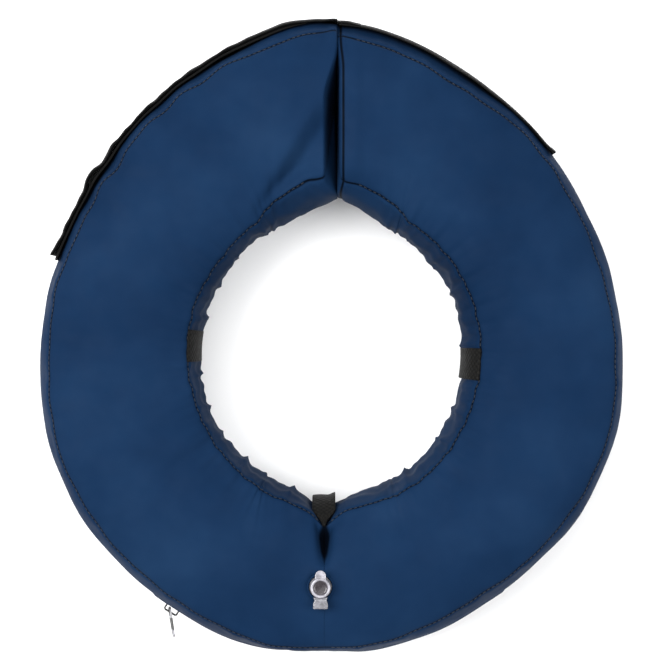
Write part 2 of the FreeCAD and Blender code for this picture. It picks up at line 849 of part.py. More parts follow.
stem = new_body("valve_stem")
stem_sketch = new_sketch(stem, "section", "XZ_Plane")
draw(stem_sketch, [
    line((stem_mouth, stem_bottom)),
    line((stem_radius, stem_bottom)),
    line((stem_radius, flange_low)),
    line((named("flange_radius"), flange_low)),
    line((named("flange_radius"), flange_top)),
    line((stem_radius, flange_top)),
    line((stem_radius, stem_top)),
    line((stem_bore, stem_top)),
    line((stem_bore, seat_high)),
    line((seat_bore, seat_high)),
    line((seat_bore, seat_low)),
    line((stem_mouth, seat_low)),
])
revolve(stem, stem_sketch, 360)
for name, along, across in (("first_bar", 1, 0), ("second_bar", 0, 1)):
    bar = new_sketch(stem, name, "XY_Plane", (0, 0, stem_bottom))
    long_half, short_half = stem_bore + named("bar_overlap"), named("bar_width") / 2
    half_x = long_half * along + short_half * across
    half_y = long_half * across + short_half * along
    rectangle(bar, -half_x, half_x, -half_y, half_y)
    pad(stem, bar, named("bar_width"))
place_valve_piece(stem)

flap = new_body("valve_flap")
flap_sketch = new_sketch(flap, "disc", "XY_Plane", (0, 0, seat_low - named("flap_drop")))
circle(flap_sketch, 0, 0, stem_bore + named("flap_overlap"))
pad(flap, flap_sketch, named("flap_thickness"))
place_valve_piece(flap)

plug = new_body("valve_plug")
plug_radius, plug_edge = named("plug_radius"), named("plug_edge")
head_low = stem_top + named("plug_gap")
head_high = head_low + named("plug_head")
spigot = stem_bore - named("spigot_slack")
spigot_low = head_low - named("plug_length")
plug_sketch = new_sketch(plug, "section", "XZ_Plane")
draw(plug_sketch, [
    line((0, spigot_low)),
    line((stem_bore - plug_edge, spigot_low)),
    line((spigot, spigot_low + named("spigot_lead"))),
    line((spigot, head_low)),
    line((plug_radius, head_low)),
    line((plug_radius, head_high - plug_edge)),
    line((plug_radius - plug_edge, head_high)),
    line((0, head_high)),
])
revolve(plug, plug_sketch, 360)
tab = new_sketch(plug, "tab", "XY_Plane", (0, 0, head_low + named("tab_rise")))
tab_half = named("tab_width") / 2
tab_straight = named("tab_reach") - tab_half
draw(tab, [
    line((-tab_half, named("tab_root"))),
    line((tab_half, named("tab_root"))),
    line((tab_half, tab_straight)),
    arc((-tab_half, tab_straight), tab_half * 1.001, 1),
])
pad(plug, tab, named("tab_thickness"))
place_valve_piece(plug)

tether = new_body("valve_tether")
tether_depth = named("tether_thickness")
tether_low = stem_top - named("tether_drop")
far_side = -named("tether_reach")
far_inside = far_side + tether_depth
plug_side = -(plug_radius + named("tether_plug_gap"))
stem_side = -(stem_radius + named("tether_stem_gap"))
tether_sketch = new_sketch(tether, "side_view", "YZ_Plane")
draw(tether_sketch, [
    line((stem_side, tether_low)),
    line((stem_side, tether_low + tether_depth)),
    line((far_inside, tether_low + tether_depth)),
    line((far_inside, head_high - tether_depth)),
    line((plug_side, head_high - tether_depth)),
    line((plug_side, head_high)),
    line((far_side, head_high)),
    line((far_side, tether_low)),
])
pad(tether, tether_sketch, named("tether_width"), midplane=True)
place_valve_piece(tether)


# ---------------------------------------------------------------- check and write

doc.recompute()
for item in doc.Objects:
    if "Invalid" in item.State or "Error" in item.State:
        raise RuntimeError(f"{item.Name} ({item.Label}) is in state {item.State}")
for item in sub_parts:
    if item.Shape.isNull() or not item.Shape.isValid():
        raise RuntimeError(f"{item.Label} has no valid shape")

os.makedirs("parts", exist_ok=True)
for item in sub_parts:
    item.Shape.exportStep(f"parts/{item.Label}.step")
    box = item.Shape.optimalBoundingBox(False, False)
    print(f"{item.Label:22s} solids {len(item.Shape.Solids)}  volume {item.Shape.Volume:10.1f}"
          f"  x {box.XMin:7.1f} {box.XMax:7.1f}  y {box.YMin:7.1f} {box.YMax:7.1f}"
          f"  z {box.ZMin:6.1f} {box.ZMax:6.1f}")
print(len(sub_parts), "sub-parts")
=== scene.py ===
# %% [markdown]
# # An inflatable recovery collar for a dog
# This notebook gives the looks to a ring-shaped cushion that keeps a dog from reaching its wounds.
# The design, with its sizes and joints, comes from the CAD frame. Every soft part of it is a plain
# solid there, and is replaced here by a surface worked out with numpy. Lengths in the formulas are
# millimetres, as on a pattern cutter's table, and become metres when a mesh is made.

import bpy
import numpy as np
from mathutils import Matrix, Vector


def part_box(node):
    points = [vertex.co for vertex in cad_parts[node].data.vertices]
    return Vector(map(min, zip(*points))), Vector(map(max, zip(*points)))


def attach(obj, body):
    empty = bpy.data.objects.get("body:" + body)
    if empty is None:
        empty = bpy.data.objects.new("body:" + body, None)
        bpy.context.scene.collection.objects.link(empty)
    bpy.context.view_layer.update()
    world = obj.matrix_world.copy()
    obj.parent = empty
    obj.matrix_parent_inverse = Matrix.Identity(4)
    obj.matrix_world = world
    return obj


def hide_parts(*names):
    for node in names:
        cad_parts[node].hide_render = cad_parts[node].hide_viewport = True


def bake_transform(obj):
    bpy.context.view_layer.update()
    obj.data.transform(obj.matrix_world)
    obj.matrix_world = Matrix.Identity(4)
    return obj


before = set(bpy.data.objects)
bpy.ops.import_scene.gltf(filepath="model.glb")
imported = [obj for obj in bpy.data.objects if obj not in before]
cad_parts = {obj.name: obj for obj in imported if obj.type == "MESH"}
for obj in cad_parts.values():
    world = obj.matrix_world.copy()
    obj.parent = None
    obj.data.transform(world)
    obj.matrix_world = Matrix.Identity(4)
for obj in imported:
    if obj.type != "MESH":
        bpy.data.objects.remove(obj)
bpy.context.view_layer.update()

MM = 0.001

# %% [markdown]
# ## Camera
# The collar lies on its back face and is seen from straight above. A long lens keeps the rim and
# the neck band nearly free of perspective.

# %% Camera
LENS, SENSOR = 135.0, 36.0
FIELD = 399.0
view_middle = (0.9, 13.2)
mid_height = 40.5
camera_data = bpy.data.cameras.new("Overhead")
camera_data.lens, camera_data.sensor_width = LENS, SENSOR
camera = bpy.data.objects.new("Overhead", camera_data)
camera.location = (view_middle[0] * MM, view_middle[1] * MM,
                   (mid_height + FIELD * LENS / SENSOR) * MM)
bpy.context.collection.objects.link(camera)
bpy.context.scene.camera = camera
print("camera height in m:", round(camera.location.z, 3))

# %% [markdown]
# ## Floor and lights
# The collar lies on a pale studio floor. One wide soft panel hangs overhead and four more stand
# round it, strongest on the left, so that the fabric shows its swell but no hard shadow. A white
# world fills the rest, as the walls of a catalogue studio would.

# %% Floor and lights
def new_material(name):
    """A material whose node tree holds its Principled shader and output only."""
    made = bpy.data.materials.new(name)
    made.use_nodes = True
    return made, made.node_tree, made.node_tree.nodes["Principled BSDF"]


floor_finish, _, floor_shader = new_material("Studio floor")
floor_shader.inputs["Base Color"].default_value = (0.93, 0.93, 0.93, 1)
floor_shader.inputs["Roughness"].default_value = 0.9
floor_reach = 3.0
floor_mesh = bpy.data.meshes.new("Studio_floor")
floor_mesh.from_pydata([(x * floor_reach, y * floor_reach, 0)
                        for x, y in ((-1, -1), (1, -1), (1, 1), (-1, 1))], [], [(0, 1, 2, 3)])
floor_mesh.materials.append(floor_finish)
floor = bpy.data.objects.new("Studio_floor", floor_mesh)
floor.location.z = -0.5 * MM
bpy.context.collection.objects.link(floor)


def soft_light(name, place, size, power):
    """A square area light at place, in metres, turned towards the collar."""
    data = bpy.data.lights.new(name, "AREA")
    data.energy, data.size = power, size
    lamp = bpy.data.objects.new(name, data)
    lamp.location = place
    lamp.rotation_euler = (-Vector(place)).to_track_quat("-Z", "Y").to_euler()
    bpy.context.collection.objects.link(lamp)


soft_light("Overhead_panel", (-0.3, 0.35, 1.7), 1.4, 12.6)
for panel, bearing, power in (("Front", -80, 2), ("Right", -5, 26), ("Back", 80, 10),
                              ("Left", 170, 46)):
    turn = np.radians(bearing)
    soft_light(f"{panel}_panel", (1.2 * np.cos(turn), 1.2 * np.sin(turn), 1.6), 1.2, power)
world = bpy.data.worlds.new("Studio")
world.use_nodes = True
background = world.node_tree.nodes["Background"]
background.inputs["Color"].default_value = (1, 1, 1, 1)
background.inputs["Strength"].default_value = 0.5
bpy.context.scene.world = world
bpy.context.scene.view_settings.view_transform = "Standard"

# %% [markdown]
# ## The ring's plan
# Seen from above, each half of the ring is drawn on the right-hand side and mirrored for the left.
# The rim is an arc round the middle that passes into a larger arc near the opening. The neck seam
# is an arc whose centre lies past the middle, so the two halves meet at a shallow point at the top
# and at the bottom. Everything is a function of the angle, in degrees from +X, so that the cover,
# the bladder, the thread and the strap all follow the same curves.

# %% Sizes taken from the frame
def frame_box(node):
    """Lowest and highest corner of a CAD node, in millimetres."""
    return [np.array(corner, float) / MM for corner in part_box(node)]


ring_radius = -frame_box("outer_band_base")[0][1]
ring_height = frame_box("front_panel_base")[1][2]
middle = ring_height / 2
split_x = (frame_box("end_panel_left")[1][0] + frame_box("end_panel_right")[0][0]) / 2
crown_radius = 218.0
blend_angle = 18.04
crown_centre = (ring_radius - crown_radius) * np.array(
    [np.cos(np.radians(blend_angle)), np.sin(np.radians(blend_angle))])
neck_radius, neck_centre = 97.6, np.array([-10.3, 1.5])
fold_x = -3.8
print(f"ring radius {ring_radius:.1f}, height {ring_height:.1f}, opening at x = {split_x:.1f}")

# %% [markdown]
# ## Curves of the plan
# A blown-up ring isn't a true circle: each half bulges a little here and is pulled in a little
# there. So the arcs are drawn first, and a smooth curve through a few knots adds that slack. Waves
# with seeded phases give unevenness that is the same in every run.

# %% Curves of the plan
def smooth(low, high, value):
    """0 below low, 1 above high, and a smooth S between them."""
    part = np.clip((value - low) / (high - low), 0, 1)
    return part * part * (3 - 2 * part)


def hill(centre, width, value):
    """A bell of height 1 at centre that falls to a third at width to either side."""
    return np.exp(-((value - centre) / width) ** 2)


def ray_to_circle(angle, centre, radius):
    """How far from the origin a ray at this angle leaves the circle."""
    turn = np.radians(angle)
    along = np.cos(turn) * centre[0] + np.sin(turn) * centre[1]
    return along + np.sqrt(along ** 2 + radius ** 2 - centre @ centre)


def ripple(value, wavelengths, seed):
    """A wavy line between about -1 and 1: sines of these wavelengths with seeded phases."""
    phases = np.random.default_rng(seed).uniform(0, 2 * np.pi, len(wavelengths))
    waves = [np.sin(2 * np.pi * value / length + phase)
             for length, phase in zip(wavelengths, phases)]
    return sum(waves) / len(wavelengths) ** 0.5


def through(angle, knots):
    """A smooth curve through (angle, value) knots: between two knots a cubic whose slopes are
    those of the knots' neighbours."""
    places, values = np.array(knots, float).T
    slopes = np.gradient(values, places)
    after = np.clip(np.searchsorted(places, angle), 1, len(places) - 1)
    before = after - 1
    width = places[after] - places[before]
    t = (angle - places[before]) / width
    return ((1 + 2 * t) * (1 - t) ** 2 * values[before] + t ** 2 * (3 - 2 * t) * values[after]
            + width * (t * (1 - t) ** 2 * slopes[before] - t ** 2 * (1 - t) * slopes[after]))


# How far each half swells past its plain arc or falls short of it.
RIM_SLACK = {1: [(-102, 0.6), (-90, -1.4), (-78, 0.9), (-58, -2.6), (-36, -1.1), (-18, 0.4),
                 (0, -2.1), (19, -3.1), (34, -2.2), (48, -1.7), (64, -2.2), (76, -0.6),
                 (84, -1.6), (90, -4.9), (96, -9.0)],
             -1: [(-102, 0.6), (-90, -1.4), (-78, 2.0), (-60, 0.6), (-36, 0.3), (-18, -0.2),
                  (0, -3.9), (12, -3.4), (28, -4.7), (46, -3.2), (62, -1.0), (74, 1.6),
                  (80, 2.6), (85, 0.6), (90, -4.3), (95, -10.0)]}


def rim(angle, side):
    """Outermost radius of the cover: the ring arc, then the crown arc, and each half's slack,
    which takes in where the strap presses on it."""
    plain = np.where(angle < blend_angle, ring_radius,
                     ray_to_circle(angle, crown_centre, crown_radius))
    return plain + through(angle, RIM_SLACK[side])


def rim_inset(angle, side):
    """How far the outer seam lies inside the rim: least at the very bottom and at the opening,
    where the band stands upright, and wavy where the strap's pile strip is sewn on."""
    wavy = 0.3 + (0.2, 0.9)[side < 0] * smooth(22, 40, angle) * (1 - smooth(66, 80, angle))
    crown = 4.4 * smooth(50, 64, angle) if side > 0 else 2.8 * smooth(60, 76, angle)
    return (7.0 + crown - 3.4 * hill(90, 3.5, angle)
            - 3.8 * hill(-90, 15, angle) + wavy * ripple(angle * 3, [23, 34, 55], 5 + side)
            * smooth(0, 15, 90 + angle))


# How far the inner seam lies outside its plain arc: a narrow notch at the fold, drawn in beside
# it, and a peak where the arms meet.
SEAM_SLACK = {1: [(-91, 5.2), (-90, 4.4), (-88, 0.6), (-85.5, -3.0), (-80, -2.9), (-68, -0.8),
                  (-50, 0), (-20, 0), (20, 0), (44, -1.5), (62, -3.6), (74, -2.0), (83, 1.2),
                  (90, 4.2)],
              -1: [(-91, 5.2), (-90, 4.4), (-87.7, -1.0), (-84.8, -4.4), (-76, -5.2), (-60, -3.6),
                   (-42, -3.2), (-20, -3.6), (20, -3.7), (44, -5.4), (62, -3.6), (74, 0.8),
                   (84, 4.4), (90, 5.6)]}


def neck_seam(angle, side):
    """Radius of the inner seam: the neck arc and each half's slack."""
    return (ray_to_circle(angle, neck_centre, neck_radius) + through(angle, SEAM_SLACK[side])
            + 0.35 * ripple(angle * 1.6, [9, 15, 24], 3) * smooth(0, 10, 90 + angle))


angles_shown = np.array([-60.0, 0.0, 60.0, 85.0])
print("rim radii:", np.round(rim(angles_shown, 1), 1),
      "neck seam radii:", np.round(neck_seam(angles_shown, 1), 1))

# %% [markdown]
# ## From a grid of points to a mesh
# Every piece below is a grid: rows run along it and columns go round its section. One helper turns
# a grid into quads, and gives each corner its distance along and round in metres as a UV map, so a
# weave keeps its scale where the piece bends. Closed pieces are turned so that faces point out.

# %% Mesh helpers
def grid_faces(rows, columns, wrap, loop=False):
    """Quads between neighbouring points of a grid. With wrap its last column joins its first,
    and with loop its last row joins its first."""
    row = np.arange(rows if loop else rows - 1)[:, None]
    column = np.arange(columns if wrap else columns - 1)[None, :]
    next_row, next_column = (row + 1) % rows, (column + 1) % columns
    corners = [row * columns + column, row * columns + next_column,
               next_row * columns + next_column, next_row * columns + column]
    return np.stack(corners, axis=-1).reshape(-1, 4)


def enclosed_volume(points, faces):
    """Signed volume inside closed quads: each quad's two triangles with the middle, summed."""
    a, b, c, d = (points[faces[:, k]] - points.mean(axis=0) for k in range(4))
    return float(np.sum(a * np.cross(b, c)) + np.sum(a * np.cross(c, d))) / 6


def grid_uv(grid, wrap, loop=False):
    """Distance along the rows and round the columns at every quad's corners, in metres."""
    if wrap:
        grid = np.concatenate([grid, grid[:, :1]], axis=1)
    if loop:
        grid = np.concatenate([grid, grid[:1]])
    across = np.linalg.norm(np.diff(grid, axis=1), axis=2).mean(axis=0)
    along = np.linalg.norm(np.diff(grid, axis=0), axis=2).mean(axis=1)
    u = np.concatenate([[0], np.cumsum(across)]) * MM
    v = np.concatenate([[0], np.cumsum(along)]) * MM
    low_u, low_v = np.meshgrid(u[:-1], v[:-1])
    high_u, high_v = np.meshgrid(u[1:], v[1:])
    corners = [(low_u, low_v), (high_u, low_v), (high_u, high_v), (low_u, high_v)]
    return np.stack([np.stack(pair, axis=-1) for pair in corners], axis=2).reshape(-1, 4, 2)


def make_piece(name, parts, material, solid=True):
    """One object from (grid in mm, wrap) parts, with UVs and smooth faces. A grid whose columns
    close on themselves gets a flat face over its first and last row, or, where those two rows
    are the same, is joined into a ring."""
    points, faces, uvs, lids, start = [], [], [], [], 0
    for grid, wrap in parts:
        loop = wrap and np.allclose(grid[0], grid[-1])
        grid = grid[:-1] if loop else grid
        rows, columns = grid.shape[:2]
        points.append(grid.reshape(-1, 3))
        faces.append(grid_faces(rows, columns, wrap, loop) + start)
        uvs.append(grid_uv(grid, wrap, loop))
        if wrap and not loop:
            first = start + np.arange(columns)
            lids += [first[::-1], first + (rows - 1) * columns]
        start += points[-1].shape[0]
    points, faces, uvs = np.concatenate(points), np.concatenate(faces), np.concatenate(uvs)
    if solid and enclosed_volume(points, faces) < 0:
        faces, uvs, lids = faces[:, ::-1], uvs[:, ::-1], [lid[::-1] for lid in lids]
    mesh = bpy.data.meshes.new(name)
    mesh.from_pydata((points * MM).tolist(), [], faces.tolist() + [lid.tolist() for lid in lids])
    lid_uvs = [points[lid][:, 1:] * MM for lid in lids]
    layer = mesh.uv_layers.new(name="UVMap")
    layer.data.foreach_set("uv", np.concatenate([uvs.reshape(-1, 2), *lid_uvs])
                           .astype(np.float32).ravel())
    mesh.polygons.foreach_set("use_smooth", np.arange(len(mesh.polygons)) < len(faces))
    mesh.materials.append(material)
    mesh.update()
    piece = bpy.data.objects.new(name, mesh)
    bpy.context.collection.objects.link(piece)
    print(f"{name}: {len(points)} points, {len(mesh.polygons)} faces")
    return piece


def grid_normals(grid, wrap=True):
    """Unit normals of a grid, from the cross product of its two directions."""
    along = np.gradient(grid, axis=0)
    if wrap:
        across = (np.roll(grid, -1, axis=1) - np.roll(grid, 1, axis=1)) / 2
    else:
        across = np.gradient(grid, axis=1)
    normal = np.cross(across, along)
    return normal / np.maximum(np.linalg.norm(normal, axis=2, keepdims=True), 1e-9)

# %% [markdown]
# ## The coated fabric
# The cover is a plain-woven synthetic with a thin matt coating. Up close it has a very fine grain,
# over a hand's width its navy drifts a little lighter and darker, and it shines softly where it is
# pulled tight. The seam line is painted darker: partly for the dark thread, partly as painted shade
# of the dip the fabric makes there. The crease at the fold gets the same painted shade line.
# The grain and weave use the UV map, in metres, so they keep their scale all round the ring.

# %% Node helpers
def add_node(tree, kind, **settings):
    """A node of this kind with its properties set."""
    node = tree.nodes.new(kind)
    for key, value in settings.items():
        setattr(node, key, value)
    return node


def join(tree, source, target):
    tree.links.new(source, target)


def noise(tree, vector, scale, detail=3.0, roughness=0.5):
    """A noise texture read at vector; gives its factor socket."""
    node = add_node(tree, "ShaderNodeTexNoise")
    node.inputs["Scale"].default_value = scale
    node.inputs["Detail"].default_value = detail
    node.inputs["Roughness"].default_value = roughness
    join(tree, vector, node.inputs["Vector"])
    return node.outputs["Fac"]


def ramp(tree, value, stops):
    """A colour ramp with the given (position, colour) stops; gives its colour socket."""
    node = add_node(tree, "ShaderNodeValToRGB")
    elements = node.color_ramp.elements
    while len(elements) < len(stops):
        elements.new(0.5)
    for element, (position, colour) in zip(elements, stops):
        element.position, element.color = position, (*colour, 1)
    join(tree, value, node.inputs["Fac"])
    return node.outputs["Color"]


def scaled(tree, value, low, high, from_low=0.0, from_high=1.0):
    """Maps a value from one range to another, clamped."""
    node = add_node(tree, "ShaderNodeMapRange")
    for key, number in (("From Min", from_low), ("From Max", from_high),
                        ("To Min", low), ("To Max", high)):
        node.inputs[key].default_value = number
    join(tree, value, node.inputs["Value"])
    return node.outputs["Result"]


def bumps(tree, shader, layers):
    """Chains bump nodes; each layer is (height socket, strength, distance in metres)."""
    last = None
    for height, strength, distance in layers:
        node = add_node(tree, "ShaderNodeBump")
        node.inputs["Strength"].default_value = strength
        node.inputs["Distance"].default_value = distance
        join(tree, height, node.inputs["Height"])
        if last is not None:
            join(tree, last, node.inputs["Normal"])
        last = node.outputs["Normal"]
    join(tree, last, shader.inputs["Normal"])


def weave(tree, vector, threads_per_metre):
    """Plain weave: the product pattern of two crossed sine waves; gives a 0 to 1 height."""
    split = add_node(tree, "ShaderNodeSeparateXYZ")
    join(tree, vector, split.inputs["Vector"])
    waves = []
    for axis in ("X", "Y"):
        turn = add_node(tree, "ShaderNodeMath", operation="MULTIPLY")
        turn.inputs[1].default_value = threads_per_metre * np.pi
        join(tree, split.outputs[axis], turn.inputs[0])
        wave = add_node(tree, "ShaderNodeMath", operation="SINE")
        join(tree, turn.outputs[0], wave.inputs[0])
        waves.append(wave.outputs[0])
    product = add_node(tree, "ShaderNodeMath", operation="MULTIPLY")
    join(tree, waves[0], product.inputs[0])
    join(tree, waves[1], product.inputs[1])
    return scaled(tree, product.outputs[0], 0, 1, -1, 1)

# %% [markdown]
# ## Navy finish
# One Principled shader does the coating: it is rough and hardly shines. Three close navies are
# mixed by a slow noise. The distance to the nearest seam or to the crease, stored on every point of
# the cover, darkens a narrow line there: painted shade of the dip and the crease, along with the
# dark thread of the seams.

# %% Navy cover fabric
NAVY_DARK = (0.0025, 0.0122, 0.0365)
NAVY = (0.0038, 0.0160, 0.0455)
NAVY_WORN = (0.0060, 0.0215, 0.0565)


def cover_material():
    """Matt navy coated fabric with fine grain, cloudy colour, and a dark line at seams and crease:
    dark thread and painted shade.
    """
    made, tree, shader = new_material("Navy coated fabric")
    place = add_node(tree, "ShaderNodeTexCoord").outputs["Object"]
    cloth = add_node(tree, "ShaderNodeUVMap", uv_map="UVMap").outputs["UV"]
    clouds = noise(tree, place, 14, 4, 0.55)
    tone = ramp(tree, clouds, [(0.32, NAVY_DARK), (0.52, NAVY), (0.74, NAVY_WORN)])
    # Painted shade: near the seams and the crease the colour darkens to a tenth, with the seams'
    # dark thread.
    seam = add_node(tree, "ShaderNodeAttribute", attribute_name="seam_and_shade_distance")
    line = scaled(tree, seam.outputs["Fac"], 0.10, 1.0, 0.30, 1.1)
    darkened = add_node(tree, "ShaderNodeMix", data_type="RGBA", blend_type="MULTIPLY")
    darkened.inputs["Factor"].default_value = 1.0
    join(tree, tone, darkened.inputs["A"])
    join(tree, line, darkened.inputs["B"])
    join(tree, darkened.outputs["Result"], shader.inputs["Base Color"])
    patches = noise(tree, place, 60, 5, 0.6)
    join(tree, scaled(tree, patches, 0.55, 0.78, 0.3, 0.7), shader.inputs["Roughness"])
    grain = noise(tree, place, 1500, 2, 0.6)
    bumps(tree, shader, [(weave(tree, cloth, 2400), 0.10, 0.00008),
                         (grain, 0.22, 0.00012), (patches, 0.15, 0.0006)])
    shader.inputs["Specular IOR Level"].default_value = 0.03
    shader.inputs["Sheen Weight"].default_value = 0.003
    shader.inputs["Sheen Roughness"].default_value = 0.45
    return made


cover_fabric = cover_material()
print("cover fabric:", len(cover_fabric.node_tree.nodes), "nodes")

# %% [markdown]
# ## The cover's section
# Cut across, the cushion is a box with four seams: a crowned face, an outer band, a back that lies
# flat on the floor, and a neck band that swells towards the dog. Each of the four is a curve
# between two seams. The grid's columns are closer at the seams, and its rows are closer at the
# opening and at the fold, because the fabric turns most sharply there.

# %% Rows and columns of the cover
def spread(low, high, step, fine):
    """Values from low to high, step apart, but closer near each (place, width, step) of fine."""
    dense = np.linspace(low, high, 6001)
    density = 1 / step + sum((1 / small - 1 / step) * hill(place, width, dense)
                             for place, width, small in fine)
    travelled = np.concatenate([[0], np.cumsum((density[1:] + density[:-1]) / 2
                                               * np.diff(dense))])
    count = int(round(travelled[-1]))
    return np.interp(np.linspace(0, travelled[-1], count + 1), travelled, dense)


row_angles = spread(-90, 90, 0.75, [(-90, 3.0, 0.25), (90, 3.5, 0.2)])
face_places = spread(-1, 1, 0.045, [(-1, 0.07, 0.018), (1, 0.07, 0.018)])
outer_places = spread(-1, 1, 0.065, [(-1, 0.08, 0.024), (1, 0.08, 0.024),
                                     (-0.16, 0.05, 0.022), (0.16, 0.05, 0.022)])
inner_places = spread(-1, 1, 0.055, [(-1, 0.08, 0.024), (1, 0.08, 0.024)])
SEAM_HEIGHT, FACE_CROWN, NECK_SWELL = 8.0, 8.0, 8.4
END_WIDTH = 150.0
# How far each arm's end wall reaches past the split: the walls are pressed together.
END_OVERLAP = 0.2
half_height = middle - SEAM_HEIGHT
print("cover grid:", len(row_angles), "rows,",
      2 * len(face_places) + len(outer_places) + len(inner_places) - 4, "columns")

# %% [markdown]
# ## The plain cushion
# First the cushion is worked out smooth, as if the fabric had no folds. Near the opening its rows
# turn parallel to the split, so that both arms end in a flat wall. The walls overlap by a hair,
# because in the closed ring they press together and no light passes.

# %% The plain cushion
# How far the neck edge stands in from its plain arc, more than elsewhere.
EDGE_SLACK = {1: [(-91, -6.0), (-90, -5.5), (-88, -3.0), (-85, 0), (-76, -0.5), (-60, -1.6),
                  (-44, -1.2), (-30, -0.2), (0, 0), (34, 0.2), (48, 2.0), (60, 2.2), (73, 6.0),
                  (80, 4.6), (85, 1.2), (90, -3.6)],
              -1: [(-91, -6.0), (-90, -5.5), (-88, -3.5), (-84.6, 1.9), (-78, 3.3), (-66, 1.0),
                   (-50, 0), (0, 0.3), (20, 1.2), (36, 2.2), (54, 1.6), (66, 3.2), (78, 3.9),
                   (85, 1.6), (90, -2.6)]}


def seam_radii(angle, side):
    """Outer seam, inner seam and how far each band swells past its seam."""
    inset = rim_inset(angle, side)
    swell = NECK_SWELL + through(angle, SEAM_SLACK[side]) + through(angle, EDGE_SLACK[side])
    return rim(angle, side) - inset, neck_seam(angle, side), inset, np.maximum(swell, 2.5)


def to_plan(angle, radius, side):
    """Polar points, except that close to the opening and to the fold the rows run parallel to
    them: the distance across is then the same at every radius."""
    straight = smooth(60, 84, np.abs(angle))
    across = (radius + (END_WIDTH - radius) * straight) * np.cos(np.radians(angle))
    y = np.sign(angle) * np.sqrt(np.maximum(radius ** 2 - across ** 2, 0))
    x = (side * (across - END_OVERLAP * smooth(60, 88, angle))
         + split_x * smooth(45, 88, angle) + fold_x * smooth(45, 88, -angle))
    return x, y, across


def section(angle, side):
    """Radius and height round the section, with for every column its part (0 face, 1 outer
    band, 2 back, 3 neck band) and its place from -1 to 1 between the part's seams."""
    outer_seam, inner_seam, inset, swell = seam_radii(angle, side)
    centre, half_width = (outer_seam + inner_seam) / 2, (outer_seam - inner_seam) / 2
    face, back = face_places[None, :-1], face_places[::-1][None, :-1]
    down, up = outer_places[::-1][None, :-1], inner_places[None, :-1]
    level = np.ones_like(angle)
    radius = np.concatenate([centre + half_width * face,
                             outer_seam + inset * (1 - np.abs(down) ** 2.2),
                             centre + half_width * back,
                             inner_seam - swell * (1 - np.abs(up) ** 2.2)], axis=1)
    top_seam = 2 * middle - SEAM_HEIGHT
    height = np.concatenate([level * (top_seam + FACE_CROWN * (1 - np.abs(face) ** 2.4)),
                             level * (middle + half_height * down),
                             level * (SEAM_HEIGHT * np.abs(back) ** 4),
                             level * (middle + half_height * up)], axis=1)
    part = np.concatenate([np.full(row.shape[1], number)
                           for number, row in enumerate((face, down, back, up))])
    place = np.concatenate([face, down, back, up], axis=1)[0]
    return radius, height, part, place, half_width


shape_check = section(row_angles[:, None], 1)
print("section runs from radius", np.round(shape_check[0].min(axis=1)[[0, 120, -1]], 1),
      "to", np.round(shape_check[0].max(axis=1)[[0, 120, -1]], 1))

# %% [markdown]
# ## Folds, puckers and seams
# An inflated cover is never smooth. The seams dip in and gather the fabric into small puckers, the
# neck band is bunched into sharp little folds by its shorter seam, the ring is creased where it was
# folded flat, and the left arm sags in a diagonal fold beside the opening. Each of these is a bell,
# a sharp ridge or a wavy line, and their sum pushes the surface along its normal.

# %% Displacement terms
NECK_FOLDS = [(188.2, 2.6, 1.2), (203.0, 2.4, -1.5), (230.9, 2.6, 1.0), (241.3, 1.4, 0.5),
              (253.9, 2.8, -1.0), (271.7, 2.6, 1.2), (3.8, 2.2, 1.0), (-23.9, 2.4, -1.0),
              (-38.2, 2.8, 1.4), (-57.7, 3.0, -1.4), (26.8, 2.2, 1.0), (56.0, 1.3, -0.6),
              (65.6, 1.2, 0.6), (134.2, 2.2, -1.2), (163.9, 2.4, 1.0), (148.5, 1.2, 0.7),
              (-8.0, 1.5, 0.8), (40.0, 1.2, -0.8), (215.0, 1.6, 0.9), (118.0, 1.4, 0.8)]
FACE_WRINKLES = [(-163, 30, 0.5, 4), (-151, 42, 0.7, 4), (-141, 34, 0.55, 3), (-129, 46, 0.7, 5),
                 (-117, 26, 0.5, 3), (-72, 24, 0.5, 3), (-60, 36, 0.6, 4), (-49, 48, 0.75, 5),
                 (-38, 32, 0.6, 4), (-27, 44, 0.6, 4), (-14, 26, 0.4, 4), (28, 26, 0.4, 4),
                 (47, 30, 0.45, 5), (133, 30, 0.45, 4), (152, 36, 0.5, 5)]
LOOP_ANGLES = (176.3, -3.65, -92.9)
valve_low, valve_high = frame_box("valve_stem")
VALVE_PLACE = ((valve_low + valve_high) / 2)[:2]
LEFT_FOLD = (np.array([-3.6, 154.7]), np.array([0.857, -0.514]))


def turn_between(angle, place):
    """Signed angle from place to angle, in degrees, the short way round."""
    return (angle - place + 180) % 360 - 180


def neck_gathers(turn, part, place):
    """Sharp ridges on the neck band, each slanting as it crosses, and shallow scallops between."""
    ridges = sum(height * (np.exp(-np.abs(turn_between(turn, at + slant * place)) / 1.15)
                           - 0.30 * hill(0, 4.5, turn_between(turn, at + slant * place)))
                 for at, height, slant in NECK_FOLDS)
    soft = 0.30 * ripple(turn + 3 * place, [4.7, 7.9, 12.3, 17.9], 21)
    hem = 0.62 + 0.13 * ripple(turn, [13, 22, 37], 23)
    roll = 0.55 * hill(hem, 0.13, place) - 0.45 * hill(hem - 0.30, 0.18, place)
    free = 1 - sum(hill(0, 6.5, turn_between(turn, at)) for at in LOOP_ANGLES)
    return (part == 3) * (ridges + soft + roll) * free * (1 - np.abs(place) ** 4)


def seam_puckers(along, to_inner, to_outer):
    """Short wrinkles square to a seam: none on the seam, most a few millimetres off it, fading."""
    inner = ripple(along, [6.1, 9.7, 15.3, 23.9], 31) * np.exp(-to_inner / 11)
    outer = ripple(along, [8.9, 13.7, 21.1, 37.3], 37) * np.exp(-to_outer / 9)
    return (0.5 * inner * (1 - hill(0, 1.6, to_inner))
            + 0.34 * outer * (1 - hill(0, 1.6, to_outer)))


